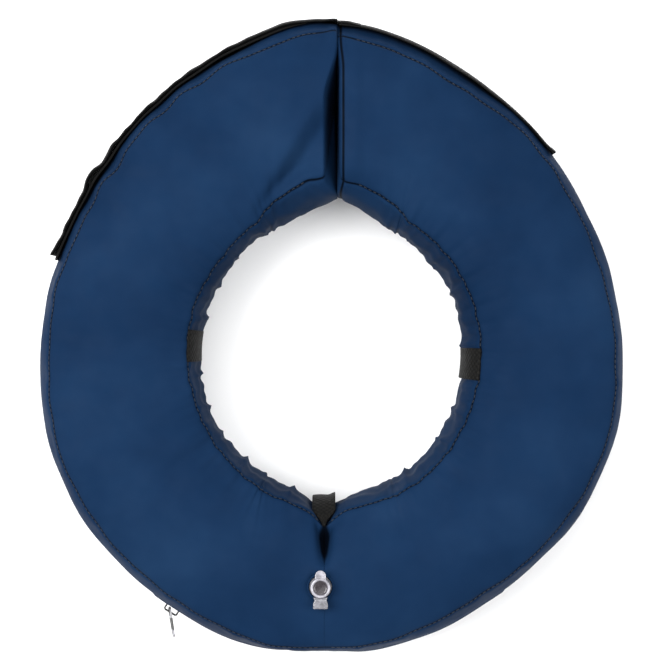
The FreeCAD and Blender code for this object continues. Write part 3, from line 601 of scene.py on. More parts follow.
def face_wrinkles(turn, to_inner, part, distance):
    """Long soft wrinkles that run out from the neck seam over the face and the back."""
    rows = sum(height * np.exp(-(turn_between(turn, at + 0.12 * to_inner) * 0.0175 * distance
                                 / width) ** 2) * np.exp(-to_inner / reach)
               * smooth(0, 6, to_inner)
               for at, reach, height, width in FACE_WRINKLES)
    return rows * ((part == 0) + 0.5 * (part == 2))


def fold_crease(across, x, y, part):
    """A sharp valley where the ring was folded, deepest at the neck and gone at the valve, with
    two faint arcs of pulled fabric beside the valve."""
    depth = 9.5 * smooth(-128, -108, y) * smooth(-60, -80, y)
    valley = -depth * np.exp(-(across / 3.0) ** 1.3)
    from_valve = np.hypot(x - VALVE_PLACE[0], y - VALVE_PLACE[1])
    bearing = np.degrees(np.arctan2(y - VALVE_PLACE[1], x - VALVE_PLACE[0]))
    sector = smooth(-28, 4, bearing) * (1 - smooth(48, 76, bearing))
    arcs = sector * (0.55 * hill(20.5, 1.9, from_valve) + 0.4 * hill(15.5, 1.6, from_valve))
    return (part == 0) * (valley + arcs) + (part == 3) * valley * 0.5


def left_sag(x, y, side, part):
    """Beside the opening the left face steps down along a slanted line, and rises again a
    little towards the edge."""
    if side > 0:
        return 0.0
    start, aside = LEFT_FOLD
    past = (x - start[0]) * aside[0] + (y - start[1]) * aside[1]
    run = (x - start[0]) * aside[1] - (y - start[1]) * aside[0]
    fade = smooth(-8, 20, run) * (1 - smooth(66, 92, run))
    step = -6.2 * smooth(-1, 11, past) + 4.4 * smooth(9, 32, past) + 0.7 * hill(-3, 3.5, past)
    return (part == 0) * fade * step


def wide_swells(x, y, height):
    """Unevenness of a hand's width, from slanted sine waves."""
    return (0.55 * ripple(x + 0.6 * y + height, [61, 97, 143], 41)
            + 0.45 * ripple(y - 0.5 * x - height, [53, 89, 131], 43))


print("neck folds:", len(NECK_FOLDS), "face wrinkles:", len(FACE_WRINKLES))

# %% [markdown]
# ## The finished cover halves
# All displacements are summed and push the plain cushion along its normals. The slot for the
# zipper, the dip round the valve and the rounded edges of the end walls are added in the same way.
# Each arm's end wall leans back a little, the left one more, so a dark cleft opens beside it.

# %% The finished cover halves
ZIP_HALF_ANGLE, ZIP_DEPTH = 36.0, 3.7
# By side: how far the end wall leans back, and the radii between which the lean fades out.
END_LEAN = {1: (1.5, 168, 186), -1: (7.4, 150, 183)}
END_EDGE = {1: 3.4, -1: 1.8}
END_SEAM_IN, FAR_FROM_SEAM = 2.4, 99.0
# The crease's painted shade line runs from the neck down to the first y and is faint past the
# second.
CREASE_SHADE_TO, CREASE_SHADE_FAINT_FROM = -114, -130


def cover_half(side):
    """Grid of one half of the cover, in millimetres, each point's distance to a seam or to the
    crease at the fold, which sets the painted shade line there, and the normals: the plain section
    pushed along them by the summed displacements."""
    angle = row_angles[:, None]
    radius, height, part, place, half_width = section(angle, side)
    part, place = part[None, :], place[None, :]
    flat_part = (part == 0) | (part == 2)
    to_inner = np.where(flat_part, (1 + place) * half_width,
                        np.where(part == 3, (1 - np.abs(place)) * half_height, 60.0))
    to_outer = np.where(flat_part, (1 - place) * half_width,
                        np.where(part == 1, (1 - np.abs(place)) * half_height, 60.0))
    x, y, across = to_plan(angle, radius, side)

    end = (angle > 60)
    lean, leans_to, upright_from = END_LEAN[side]
    lean = lean * (1 - smooth(leans_to, upright_from, radius)) * smooth(94, 104, radius)
    x = x + side * end * lean * smooth(5, 30, height) * (1 - smooth(0, 34, across))
    edge = END_EDGE[side]
    rounding = (edge - np.sqrt(np.maximum(edge ** 2 - np.clip(edge - across, 0, edge) ** 2, 0))
                ) * smooth(58, 72, height)

    grid = np.stack([x, y, height], axis=2)
    normal = grid_normals(grid)
    outward = np.stack([np.cos(np.radians(angle)) * side + 0 * height,
                        np.sin(np.radians(angle)) + 0 * height, 0 * height], axis=2)
    facing = np.sum(normal * outward, axis=2)[:, len(face_places) + 10].mean()
    normal = normal * np.sign(facing)
    normal[[0, -1], :, 0] = 0
    normal /= np.linalg.norm(normal, axis=2, keepdims=True)

    turn = np.degrees(np.arctan2(y, x))
    along = side * (angle + 90) * 0.0175 * np.where(to_inner < to_outer, 96.0, 172.0)
    nearest = np.minimum(to_inner, to_outer)
    end_seam = np.where(end & (side > 0), np.abs(across - END_SEAM_IN), FAR_FROM_SEAM)
    push = (-0.9 * hill(0, 1.3, nearest) - end * 0.55 * hill(0, 1.1, end_seam)
            + neck_gathers(turn, part, place) * (1 - smooth(78, 88, angle)) * smooth(0, 3, across)
            + seam_puckers(along, to_inner, to_outer) * smooth(0, 6, across)
            + face_wrinkles(turn, to_inner, part, radius) * smooth(0, 12, across)
            + fold_crease(across, x, y, part) * (angle < 0) * smooth(0, 5, to_inner)
            + left_sag(x, y, side, part) * smooth(0, 9, to_inner)
            + wide_swells(x, y, height) * (1 - hill(0, 6, nearest)) * (1 - 0.8 * (part == 2))
            - end * rounding)
    if side > 0:
        push = push + (part == 0) * end * (1.1 * hill(9.5, 4.5, across)
                                           * smooth(98, 112, y) * (1 - smooth(150, 185, y)))
    from_valve = np.hypot(x - VALVE_PLACE[0], y - VALVE_PLACE[1])
    push = push - (part == 0) * 2.6 * (1 - smooth(6.0, 7.6, from_valve))
    zipped = 1 - smooth(ZIP_HALF_ANGLE, ZIP_HALF_ANGLE + 0.7, angle + 90)
    off_zip = np.abs(height - middle)
    push = push + (part == 1) * zipped * (-ZIP_DEPTH * (1 - smooth(4.4, 5.6, off_zip))
                                          + 0.7 * hill(7.2, 1.6, off_zip))
    grid = grid + normal * push[:, :, None]
    grid[:, :, 2] = np.maximum(grid[:, :, 2], 0.02 * np.abs(place) * flat_part)
    collar = (part == 0) * smooth(6.6, 7.6, from_valve) * (1 - smooth(10.5, 15, from_valve))
    grid[:, :, 2] += collar * (80.9 - grid[:, :, 2])
    # Painted shade: the crease gets a small distance, so the material darkens a line along it.
    crease = np.where((part == 0) & (angle < 0),
                      0.55 * across + 1.9 * smooth(CREASE_SHADE_TO, CREASE_SHADE_FAINT_FROM, y),
                      FAR_FROM_SEAM)
    seam_and_shade_distance = np.minimum(np.minimum(nearest, crease),
                               np.where(end, end_seam, FAR_FROM_SEAM))
    return grid, seam_and_shade_distance, normal


def close_end(grid, seam_and_shade_distance, steps=9):
    """Adds rows that shrink the last row towards its middle, so the arm's end is a panel."""
    centre = grid[-1].mean(axis=0)
    shares = np.linspace(1, 0.06, steps + 1)[1:]
    panel = centre + (grid[-1] - centre) * shares[:, None, None]
    far = np.full((steps, grid.shape[1]), FAR_FROM_SEAM)
    return np.concatenate([grid, panel]), np.concatenate([seam_and_shade_distance, far])


def add_seam_and_shade_attribute(piece, distance):
    """Stores each point's distance to its nearest seam or crease, in millimetres, for the painted
    shade line.
    """
    layer = piece.data.attributes.new("seam_and_shade_distance", "FLOAT", "POINT")
    layer.data.foreach_set("value", distance.astype(np.float32).ravel())


covers = {}
for name, side in (("right", 1), ("left", -1)):
    half_grid, half_seam_shade, half_normal = cover_half(side)
    covers[name] = (half_grid, half_normal)
    whole_grid, whole_seam_shade = close_end(half_grid, half_seam_shade)
    cover = make_piece(f"cover_{name}", [(whole_grid, True)], cover_fabric)
    add_seam_and_shade_attribute(cover, whole_seam_shade)

# %% [markdown]
# ## Fixing the cover halves in place
# The ring opens like a horseshoe so it can go round a neck. The fabric is one piece there, and the
# design's hinge sits at the rim. Here each half of the cover only has its placement baked into its
# mesh: it is not bound to the base or to an arm, so it does not bend with them.


def bend_with_arm(piece):
    """Bakes a piece's placement into its mesh; it is not bound to the base or to an arm."""
    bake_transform(piece)


for name in ("right", "left"):
    cover = bpy.data.objects[f"cover_{name}"]
    bend_with_arm(cover)
    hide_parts(f"front_panel_{name}", f"back_panel_{name}", f"outer_band_{name}",
                f"inner_band_{name}", f"end_panel_{name}")
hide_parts("front_panel_base", "outer_band_base")
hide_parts("back_panel_base", "inner_band_base")

# %% [markdown]
# ## The bladder
# Inside the cover is the part that holds the air: a welded ring of clear film. It never shows, but
# it is there in the real collar, so each half gets one, drawn from the same section at about three
# quarters of its size. Its placement is baked into its mesh, as the cover's is.

# %% Film
def film_material(name, tint, clearness, rough, painted_shade_radius=None):
    """Flexible clear plastic: part of the light goes through, the rest is tinted and glossy. Within
    the painted shade radius in mm, if given, the colour darkens round the valve's axis: painted
    shade for the dark inside of the valve."""
    made, tree, shader = new_material(name)
    place = add_node(tree, "ShaderNodeTexCoord").outputs["Object"]
    haze = noise(tree, place, 260, 4, 0.6)
    tone = ramp(tree, haze, [(0.36, tuple(c * 0.45 for c in tint)), (0.62, tint)])
    # Painted shade: a dark disc round the valve's axis stands in for the shaded inside of the
    # valve.
    if painted_shade_radius is not None:
        flat = add_node(tree, "ShaderNodeVectorMath", operation="MULTIPLY")
        flat.inputs[1].default_value = (1, 1, 0)
        away = add_node(tree, "ShaderNodeVectorMath", operation="DISTANCE")
        away.inputs[1].default_value = (*(VALVE_PLACE * MM), 0)
        join(tree, place, flat.inputs[0])
        join(tree, flat.outputs["Vector"], away.inputs[0])
        shade = ramp(tree, scaled(tree, away.outputs["Value"], 0, 1, 0, 2 * painted_shade_radius * MM),
                     [(0.40, (0.075, 0.062, 0.070)), (0.50, (0.16, 0.14, 0.15)),
                      (0.60, (1, 1, 1))])
        shaded = add_node(tree, "ShaderNodeMix", data_type="RGBA", blend_type="MULTIPLY")
        shaded.inputs["Factor"].default_value = 1.0
        join(tree, tone, shaded.inputs["A"])
        join(tree, shade, shaded.inputs["B"])
        tone = shaded.outputs["Result"]
    join(tree, tone, shader.inputs["Base Color"])
    join(tree, scaled(tree, haze, rough * 0.6, rough * 1.7, 0.3, 0.7),
         shader.inputs["Roughness"])
    bumps(tree, shader, [(noise(tree, place, 420, 3, 0.5), 0.25, 0.0003)])
    shader.inputs["Transmission Weight"].default_value = clearness
    shader.inputs["IOR"].default_value = 1.49
    return made


bladder_film = film_material("Welded clear film", (0.72, 0.76, 0.78), 0.25, 0.3)
FILM_SHARE, FILM_END_ANGLE = 0.74, 85.6


def bladder_half(side):
    """Every fourth row and column of the cover's plain section, drawn in towards its middle."""
    angle = row_angles[::4, None]
    radius, height, _, _, _ = section(angle, side)
    radius, height = radius[:, ::4], height[:, ::4]
    core = (radius.max(axis=1, keepdims=True) + radius.min(axis=1, keepdims=True)) / 2
    x, y, _ = to_plan(np.clip(angle, -90, FILM_END_ANGLE),
                      core + (radius - core) * FILM_SHARE, side)
    return np.stack([x, y, middle + (height - middle) * FILM_SHARE], axis=2)


for name, side in (("right", 1), ("left", -1)):
    bladder = make_piece(f"bladder_film_{name}", [(bladder_half(side), True)], bladder_film)
    bend_with_arm(bladder)
    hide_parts(f"bladder_{name}")
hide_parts("bladder_base")

# %% [markdown]
# ## Thread
# The cover is sewn with dark thread along its four long seams. Each stitch is a tiny closed
# capsule that lies in the seam's valley, and all of one half's stitches are a single mesh, because
# a few thousand separate objects would be slow. The capsule has only four rings of six points.

# %% Stitches
def thread_material(name, dark, light, scale=2600):
    """Twisted thread: a fine grain across two close tones, rather rough."""
    made, tree, shader = new_material(name)
    place = add_node(tree, "ShaderNodeTexCoord").outputs["Object"]
    strands = noise(tree, place, scale, 3, 0.65)
    join(tree, ramp(tree, strands, [(0.35, dark), (0.7, light)]), shader.inputs["Base Color"])
    join(tree, scaled(tree, strands, 0.5, 0.75), shader.inputs["Roughness"])
    bumps(tree, shader, [(strands, 0.5, 0.0002)])
    return made


seam_thread = thread_material("Dark navy thread", (0.0006, 0.0014, 0.0040),
                              (0.0018, 0.0040, 0.0110))
THREAD_RADIUS, STITCH_LENGTH, STITCH_PITCH = 0.22, 2.0, 3.1


def along_path(path, distances):
    """Points at these distances along a row of points, and the direction there."""
    steps = np.linalg.norm(np.diff(path, axis=0), axis=1)
    travelled = np.concatenate([[0], np.cumsum(steps)])

    def at(where):
        return np.stack([np.interp(where, travelled, path[:, k]) for k in range(3)], axis=1)
    ahead = at(distances + 0.8) - at(distances - 0.8)
    return at(distances), ahead / np.maximum(np.linalg.norm(ahead, axis=1, keepdims=True), 1e-9)


def stitch_rows(lines, pitch, length, radius):
    """Capsules along (path, normals) lines: points (stitch, ring, side, xyz)."""
    ring_at = np.array([-0.5, -0.36, 0.36, 0.5]) * length
    ring_size = np.array([0.35, 1.0, 1.0, 0.35]) * radius
    round_angle = np.arange(6) / 6 * 2 * np.pi
    made = []
    for path, up in lines:
        total = np.linalg.norm(np.diff(path, axis=0), axis=1).sum()
        centre, ahead = along_path(path, np.arange(pitch, total - pitch, pitch))
        rise = along_path(np.cumsum(up, axis=0), np.linspace(0, len(up) - 2, len(centre)))[1]
        aside = np.cross(ahead, rise)
        aside /= np.maximum(np.linalg.norm(aside, axis=1, keepdims=True), 1e-9)
        rise = np.cross(aside, ahead)
        spin = (aside[:, None, None] * np.cos(round_angle)[:, None]
                + rise[:, None, None] * np.sin(round_angle)[:, None])
        made.append(centre[:, None, None] + ahead[:, None, None] * ring_at[:, None, None]
                    + spin * ring_size[:, None, None])
    return np.concatenate(made)


def make_stitches(name, lines, material, pitch=STITCH_PITCH, length=STITCH_LENGTH,
                  radius=THREAD_RADIUS):
    """One mesh of many stitches."""
    capsules = stitch_rows(lines, pitch, length, radius)
    count = len(capsules)
    start = np.arange(count)[:, None, None] * 24
    quads = (grid_faces(4, 6, True)[None] + start).reshape(-1, 4)
    lids = np.concatenate([start[:, 0] + np.arange(6)[::-1], start[:, 0] + 18 + np.arange(6)])
    if enclosed_volume(capsules.reshape(-1, 3), quads) < 0:
        quads, lids = quads[:, ::-1], lids[:, ::-1]
    mesh = bpy.data.meshes.new(name)
    mesh.from_pydata((capsules.reshape(-1, 3) * MM).tolist(), [], quads.tolist() + lids.tolist())
    mesh.polygons.foreach_set("use_smooth", np.ones(len(mesh.polygons), dtype=bool))
    mesh.materials.append(material)
    piece = bpy.data.objects.new(name, mesh)
    bpy.context.collection.objects.link(piece)
    print(f"{name}: {count} stitches")
    return piece


THREAD_RISE, SEWN_ROWS = 0.12, slice(3, -14)
seam_columns = np.cumsum([0, len(face_places) - 1, len(outer_places) - 1, len(face_places) - 1])
for name in ("right", "left"):
    half_grid, half_normal = covers[name]
    lines = [(half_grid[SEWN_ROWS, column] + half_normal[SEWN_ROWS, column] * THREAD_RISE,
              half_normal[SEWN_ROWS, column]) for column in seam_columns]
    thread = make_stitches(f"seam_thread_{name}", lines, seam_thread)
    bend_with_arm(thread)

# %% [markdown]
# ## Webbing loops
# Three loops of black webbing cross the neck band, and the dog's own collar is threaded through
# them. Each is a flat tape carried over the swell of the band, from the upper seam to the lower
# one. The lowest loop comes out of the notch at the fold, so it is bunched narrow at its ends.

# %% Webbing
def webbing_material(name, dark, light, ribs_per_metre):
    """Ribbed black webbing: ribs across the tape and threads along them, lighter at the top of the
    ribs in patches, on the tape's own UV map."""
    made, tree, shader = new_material(name)
    cloth = add_node(tree, "ShaderNodeUVMap", uv_map="UVMap").outputs["UV"]
    place = add_node(tree, "ShaderNodeTexCoord").outputs["Object"]
    ribs = weave(tree, cloth, ribs_per_metre)
    rib_patches = noise(tree, place, 260, 4, 0.6)
    mixed = add_node(tree, "ShaderNodeMath", operation="MULTIPLY")
    join(tree, ribs, mixed.inputs[0])
    # The rib tops are lighter in colour where this noise is high.
    join(tree, scaled(tree, rib_patches, 0.35, 1.0, 0.35, 0.65), mixed.inputs[1])
    join(tree, ramp(tree, mixed.outputs[0], [(0.1, dark), (0.8, light)]),
         shader.inputs["Base Color"])
    join(tree, scaled(tree, rib_patches, 0.62, 0.9, 0.3, 0.7), shader.inputs["Roughness"])
    bumps(tree, shader, [(ribs, 0.7, 0.0003), (noise(tree, place, 2200, 2), 0.3, 0.0002)])
    shader.inputs["Specular IOR Level"].default_value = 0.12
    shader.inputs["Sheen Weight"].default_value = 0.01
    shader.inputs["Sheen Roughness"].default_value = 0.4
    return made


webbing = webbing_material("Black ribbed webbing", (0.0012, 0.0012, 0.0012),
                           (0.0085, 0.0080, 0.0070), 620)


def tape_section(steps=10):
    """Places round a flat tape: across it and deep into it, both from -0.5 to 0.5."""
    flat = np.linspace(-0.47, 0.47, steps)
    across = np.concatenate([flat, [0.495, 0.5, 0.495], flat[::-1], [-0.495, -0.5, -0.495]])
    deep = np.concatenate([np.full(steps, 0.5), [0.3, 0, -0.3],
                           np.full(steps, -0.5), [-0.3, 0, 0.3]])
    return across, deep


def tape_along(path, across_way, facing, width, thickness, gutter=0.0):
    """A tape carried along a path. Its width lies along across_way and its thickness along
    facing. A gutter bends it into a shallow trough of that depth."""
    across, deep = tape_section()
    width = np.broadcast_to(np.asarray(width, float), (len(path),))[:, None, None]
    trough = gutter * (1 - (2 * across) ** 2)[None, :, None]
    return (path[:, None] + across_way[:, None] * across[None, :, None] * width
            + facing[:, None] * (deep[None, :, None] * thickness + trough))


def unit(vectors):
    return vectors / np.maximum(np.linalg.norm(vectors, axis=-1, keepdims=True), 1e-9)


WEBBING_WIDTH, WEBBING_THICKNESS, LOOP_STAND = 19.0, 1.2, 1.3
SIDE_LOOP_REACH, BASE_LOOP_REACH = 77.9, 85.4


def neck_loop(turn, seam, reach, width, gutter, corner=0.0):
    """Grid of a loop at this bearing: from its ends at radius seam it steps off the band and
    bows in to radius reach. Corner is how far one edge stands proud of the other."""
    level = np.linspace(1, -1, 61)
    radius = (seam - (seam - reach - LOOP_STAND) * (1 - np.abs(level) ** 2.6)
              - LOOP_STAND * (1 - np.abs(level) ** 8))
    bearing = np.radians(turn)
    out = np.array([np.cos(bearing), np.sin(bearing), 0])
    path = radius[:, None] * out + np.stack(
        [0 * level, 0 * level, middle + (half_height + 0.4) * level], axis=1)
    across_way = np.tile([-np.sin(bearing), np.cos(bearing), 0], (len(level), 1))
    facing = unit(np.cross(np.gradient(path, axis=0), across_way))
    facing *= np.sign(-(facing @ out)[30])
    grid = tape_along(path, across_way, facing, width(level), WEBBING_THICKNESS, gutter)
    proud = corner * smooth(0.05, 0.5, tape_section()[0]) ** 2 * (1 - level[:, None] ** 4)
    return grid - proud[:, :, None] * out


for name, turn, side in (("left", LOOP_ANGLES[0], -1), ("right", LOOP_ANGLES[1], 1)):
    seam_here = float(neck_seam(np.array(3.65 * -side), side)) + 0.2
    grid = neck_loop(turn, seam_here, SIDE_LOOP_REACH,
                     lambda level: WEBBING_WIDTH - 0.9 * (1 - level ** 2), -0.5)
    loop = make_piece(f"webbing_loop_{name}", [(grid, True)], webbing)
    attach(loop, f"{name}_arm")
    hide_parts(f"collar_loop_{name}")
notch_radius = float(neck_seam(np.array(-90.0), 1))
grid = neck_loop(LOOP_ANGLES[2], notch_radius + 0.6, BASE_LOOP_REACH,
                 lambda level: 1.6 + 12.0 * smooth(0, 0.23, 1 - np.abs(level)), 0.6, 2.4)
grid[:, :, 0] += 0.9 * np.abs((grid[:, :, 2] - middle) / half_height) ** 3
loop = make_piece("webbing_loop_base", [(grid, True)], webbing)
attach(loop, "base")
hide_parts("collar_loop_base")

# %% [markdown]
# ## Hook-and-loop closure
# A wide black strap is sewn to the right arm, crosses the opening and presses onto a pile strip on
# the left arm. Four tapes make it: the sewn anchor, the strap, the hook strip behind the strap and
# the pile strip on the cover. They follow the rim of the cover, and the strap is not pressed flat
# everywhere: it lifts in two places near its free tail.

# %% Closure
def pile_material(name, dark, light, scale, depth):
    """Brushed loops or stiff hooks: close, fine, fuzzy bumps whose tips carry a painted highlight.
    """
    made, tree, shader = new_material(name)
    place = add_node(tree, "ShaderNodeTexCoord").outputs["Object"]
    fuzz = noise(tree, place, scale, 4, 0.7)
    clumps = noise(tree, place, scale / 7, 3, 0.5)
    # Painted highlight: the same noise that raises the fuzz makes its tips lighter in colour.
    join(tree, ramp(tree, fuzz, [(0.35, dark), (0.72, light)]), shader.inputs["Base Color"])
    join(tree, scaled(tree, clumps, 0.75, 0.95), shader.inputs["Roughness"])
    bumps(tree, shader, [(fuzz, 0.9, depth), (clumps, 0.4, depth * 2)])
    shader.inputs["Specular IOR Level"].default_value = 0.1
    shader.inputs["Sheen Weight"].default_value = 0.01
    shader.inputs["Sheen Roughness"].default_value = 0.5
    return made


pile = pile_material("Black brushed pile", (0.0006, 0.0006, 0.0006), (0.0060, 0.0060, 0.0058),
                     1300, 0.0005)
hooks = pile_material("Black hook tape", (0.0006, 0.0006, 0.0006), (0.0080, 0.0080, 0.0080),
                      1900, 0.0004)
strap_cloth = webbing_material("Black strap tape", (0.0007, 0.0007, 0.0008),
                               (0.0046, 0.0046, 0.0048), 900)
CLOSURE_LOW, CLOSURE_HIGH = (frame_box("closure_strap")[k][2] for k in (0, 1))
TAIL_ANGLE, SEWN_ANGLE = 19.6, 42.0


def rim_tape(angle, side, offset, thickness, low, high, lift=None):
    """A tape round the rim: between two heights, offset from the cover, following half of the
    band's curve. Lift, if given, is a function of angle and height share."""
    across, deep = tape_section(12)
    share = (low + high) / 2 + across * (high - low)
    level = ((share - middle) / half_height)[None, :]
    curve = 0.55 * rim_inset(angle, side) * np.abs(level) ** 2.2
    radius = rim(angle, side) + offset + deep[None, :] * thickness - curve
    if lift is not None:
        radius = radius + lift(angle, 2 * across[None, :])
    x, y, _ = to_plan(angle + 0 * level, radius, side)
    return np.stack([x, y, share[None, :] + 0 * angle], axis=2)


def strap_lift(angle, level):
    """The strap bows off in two places and its tail curls away, more at its lower edge."""
    more_below = 1 + 0.9 * (1 - level) / 2
    bow = 1.7 * hill(36.6, 2.6, angle) + 0.8 * hill(43.5, 1.3, angle) - 0.3 * hill(40.5, 1.6, angle)
    return (bow * more_below + 1.2 * (1 - smooth(TAIL_ANGLE, TAIL_ANGLE + 5, angle))
            + 0.25 * ripple(angle, [3.1, 5.3, 8.9], 51) * (1 - smooth(70, 80, angle)))


left_angles = np.linspace(90, TAIL_ANGLE, 220)[:, None]
right_angles = np.linspace(84.5, 89.9, 20)[:, None]
root_depth = 0.3 + 0.9 * smooth(84.5, 88.0, right_angles)
root = rim_tape(right_angles, 1, 1.5 + root_depth / 2, root_depth, CLOSURE_LOW, CLOSURE_HIGH)
run = rim_tape(left_angles, -1, 3.1 - 2.0 * smooth(77, 84, left_angles)
               + 1.0 * smooth(86.5, 90, left_angles), 1.2, CLOSURE_LOW, CLOSURE_HIGH, strap_lift)
strap = make_piece("closure_strap_tape", [(np.concatenate([root, run]), True)], strap_cloth)
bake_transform(strap)
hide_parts("closure_strap")

hook_angles = np.linspace(83.5, TAIL_ANGLE + 0.8, 200)[:, None]
flat_end = 1 - 0.8 * smooth(76, 82, hook_angles)
hook_grid = rim_tape(hook_angles, -1, 0.35 + 1.7 * flat_end, 0.8 * flat_end, CLOSURE_LOW + 2,
                     CLOSURE_HIGH - 2, strap_lift)
hook_strip = make_piece("hook_strip", [(hook_grid, True)], hooks)
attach(hook_strip, "strap")
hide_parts("hook_fastener_strip")

pile_angles = np.linspace(83.0, 19.0, 200)[:, None]
flat_end = 1 - 0.8 * smooth(76, 82, pile_angles)
pile_grid = rim_tape(pile_angles, -1, 0.75 * flat_end, 1.3 * flat_end, CLOSURE_LOW, CLOSURE_HIGH)
pile_strip = make_piece("pile_strip", [(pile_grid, True)], pile)
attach(pile_strip, "left_arm")
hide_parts("loop_fastener_strip")

anchor_angles = np.linspace(89.5, SEWN_ANGLE, 170)[:, None]
end_stands = 1.3 * hill(SEWN_ANGLE, 1.6, anchor_angles)
anchor = make_piece("strap_anchor_tape", [(rim_tape(anchor_angles, 1, 0.8 + end_stands, 1.2,
                                                    CLOSURE_LOW, CLOSURE_HIGH), True)],
                    strap_cloth)
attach(anchor, "right_arm")
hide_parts("strap_anchor")

# %% [markdown]
# ## Zipper
# The bladder goes in through a zipper in the outer band at the bottom. Two woven tapes lie in the
# slot, and along each facing edge runs a coil: a helix of stiff thread, squeezed a little flat.
# The coils are real helices, with about one and a third millimetres from turn to turn.

# %% Tapes and coils
zip_tape_cloth = webbing_material("Black zipper tape", (0.0030, 0.0030, 0.0034),
                                  (0.0180, 0.0180, 0.0190), 1500)
coil_plastic = thread_material("Black coil plastic", (0.0040, 0.0040, 0.0045),
                               (0.0150, 0.0150, 0.0160), 900)
tapes_low, tapes_high = frame_box("zipper_tapes")
TAPE_RADIUS, COIL_RADIUS = -tapes_low[1], -frame_box("zipper_coils")[0][1]
ZIP_SWEEP, STOP_SWEEP = 67.0, 0.7
coil_start, coil_end = -90 - ZIP_SWEEP / 2, -90 + ZIP_SWEEP / 2


def on_rim(bearing, depth):
    """Points x, y at this depth under the cover's rim, at bearings along the bottom."""
    radius = np.where(bearing > -90, rim(np.maximum(bearing, -90), 1),
                      rim(np.maximum(-180 - bearing, -90), -1)) - depth
    return radius * np.cos(np.radians(bearing)), radius * np.sin(np.radians(bearing))


def zip_strip(bearings, low, high, depth, thickness):
    """A strip round the rim between two heights."""
    path = np.stack([*on_rim(bearings, depth), np.full(len(bearings), (low + high) / 2)], axis=1)
    facing = np.stack([np.cos(np.radians(bearings)), np.sin(np.radians(bearings)),
                       0 * bearings], axis=1)
    up = np.tile([0.0, 0.0, 1.0], (len(bearings), 1))
    return tape_along(path, up, facing, high - low, thickness)


def zip_coil(height, twist):
    """A helix carried round the rim: an ellipse drawn once per pitch, and a wire round it."""
    pitch, wire, points = 1.3, 0.27, 12
    count = int(np.radians(ZIP_SWEEP) * COIL_RADIUS / pitch * points)
    bearing = np.linspace(coil_start, coil_end, count)
    phase = np.arange(count) / points * 2 * np.pi * twist
    path = np.stack([*on_rim(bearing, ring_radius - COIL_RADIUS + 1.3 - 0.73 * np.cos(phase)),
                     height + 0.93 * np.sin(phase)], axis=1)
    ahead = unit(np.gradient(path, axis=0))
    out = np.stack([np.cos(np.radians(bearing)), np.sin(np.radians(bearing)), 0 * bearing], axis=1)
    aside = unit(np.cross(ahead, out))
    rise = np.cross(aside, ahead)
    spin = np.arange(6) / 6 * 2 * np.pi
    return (path[:, None] + wire * (aside[:, None] * np.cos(spin)[:, None]
                                    + rise[:, None] * np.sin(spin)[:, None]))


half_gap, coil_level = 0.9, 2.1
tape_turns = np.linspace(-90 - ZIP_HALF_ANGLE, -90 + ZIP_HALF_ANGLE, 150)
tape_depth = ring_radius - TAPE_RADIUS + 0.6
tapes = make_piece("zipper_tape_pair",
                   [(zip_strip(tape_turns, low, high, tape_depth, 0.6), True)
                    for low, high in ((middle + half_gap, tapes_high[2]),
                                      (tapes_low[2], middle - half_gap))], zip_tape_cloth)
coils = make_piece("zipper_coil_pair", [(zip_coil(middle + coil_level, 1), True),
                                        (zip_coil(middle - coil_level, -1), True)],
                   coil_plastic, solid=False)
stops = make_piece("zipper_stop_pair",
                   [(zip_strip(np.linspace(0, STOP_SWEEP, 6) + start, middle - 3.3, middle + 3.3,
                               tape_depth - 1.2, 1.4), True)
                    for start in (coil_start - STOP_SWEEP, coil_end)],
                   coil_plastic)
for piece, slot, node in ((tapes, "zipper_tape_black", "zipper_tapes"),
                          (coils, "zipper_coil_black", "zipper_coils"),
                          (stops, "zipper_coil_black", "zipper_stops")):
    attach(piece, "base")
    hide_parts(node)

# %% [markdown]
# ## Slider and pull
# Both are small castings, so the design's own shapes stay and only get a finish: black enamel on
# the slider, bare nickel on the pull with a sleeve of black rubber round its middle.

# %% Slider and pull
def metal_material(name, dark, light, metallic, rough, rubber=None):
    """Small cast metal part: brushed tone, soft scratches, worn lighter at random. A pull may
    have a stretch of black rubber between two heights on the page, in metres."""
    made, tree, shader = new_material(name)
    place = add_node(tree, "ShaderNodeTexCoord").outputs["Object"]
    wear = noise(tree, place, 700, 5, 0.65)
    tone = ramp(tree, wear, [(0.35, dark), (0.68, light)])
    if rubber is not None:
        split = add_node(tree, "ShaderNodeSeparateXYZ")
        join(tree, place, split.inputs["Vector"])
        lowest, highest = rubber
        middle_y, half = (lowest + highest) / 2, (highest - lowest) / 2
        away = add_node(tree, "ShaderNodeMath", operation="SUBTRACT")
        away.inputs[1].default_value = middle_y
        join(tree, split.outputs["Y"], away.inputs[0])
        distance = add_node(tree, "ShaderNodeMath", operation="ABSOLUTE")
        join(tree, away.outputs[0], distance.inputs[0])
        bare = scaled(tree, distance.outputs[0], 0, 1, half - 0.0003, half + 0.0003)
        mix = add_node(tree, "ShaderNodeMix", data_type="RGBA")
        mix.inputs["A"].default_value = (0.006, 0.006, 0.006, 1)
        join(tree, bare, mix.inputs["Factor"])
        join(tree, tone, mix.inputs["B"])
        join(tree, bare, shader.inputs["Metallic"])
        tone = mix.outputs["Result"]
    else:
        shader.inputs["Metallic"].default_value = metallic
    join(tree, tone, shader.inputs["Base Color"])
    join(tree, scaled(tree, wear, rough * 0.7, rough * 1.5, 0.3, 0.7),
         shader.inputs["Roughness"])
    bumps(tree, shader, [(noise(tree, place, 1800, 3), 0.25, 0.0001)])
    return made


black_enamel = metal_material("Black enamelled slider", (0.0015, 0.0015, 0.0017),
                              (0.0090, 0.0090, 0.0095), 0.1, 0.55)
nickel = metal_material("Nickel pull", (0.10, 0.10, 0.11), (0.42, 0.42, 0.44), 1.0, 0.3,
                        rubber=(-0.1650, -0.1578))


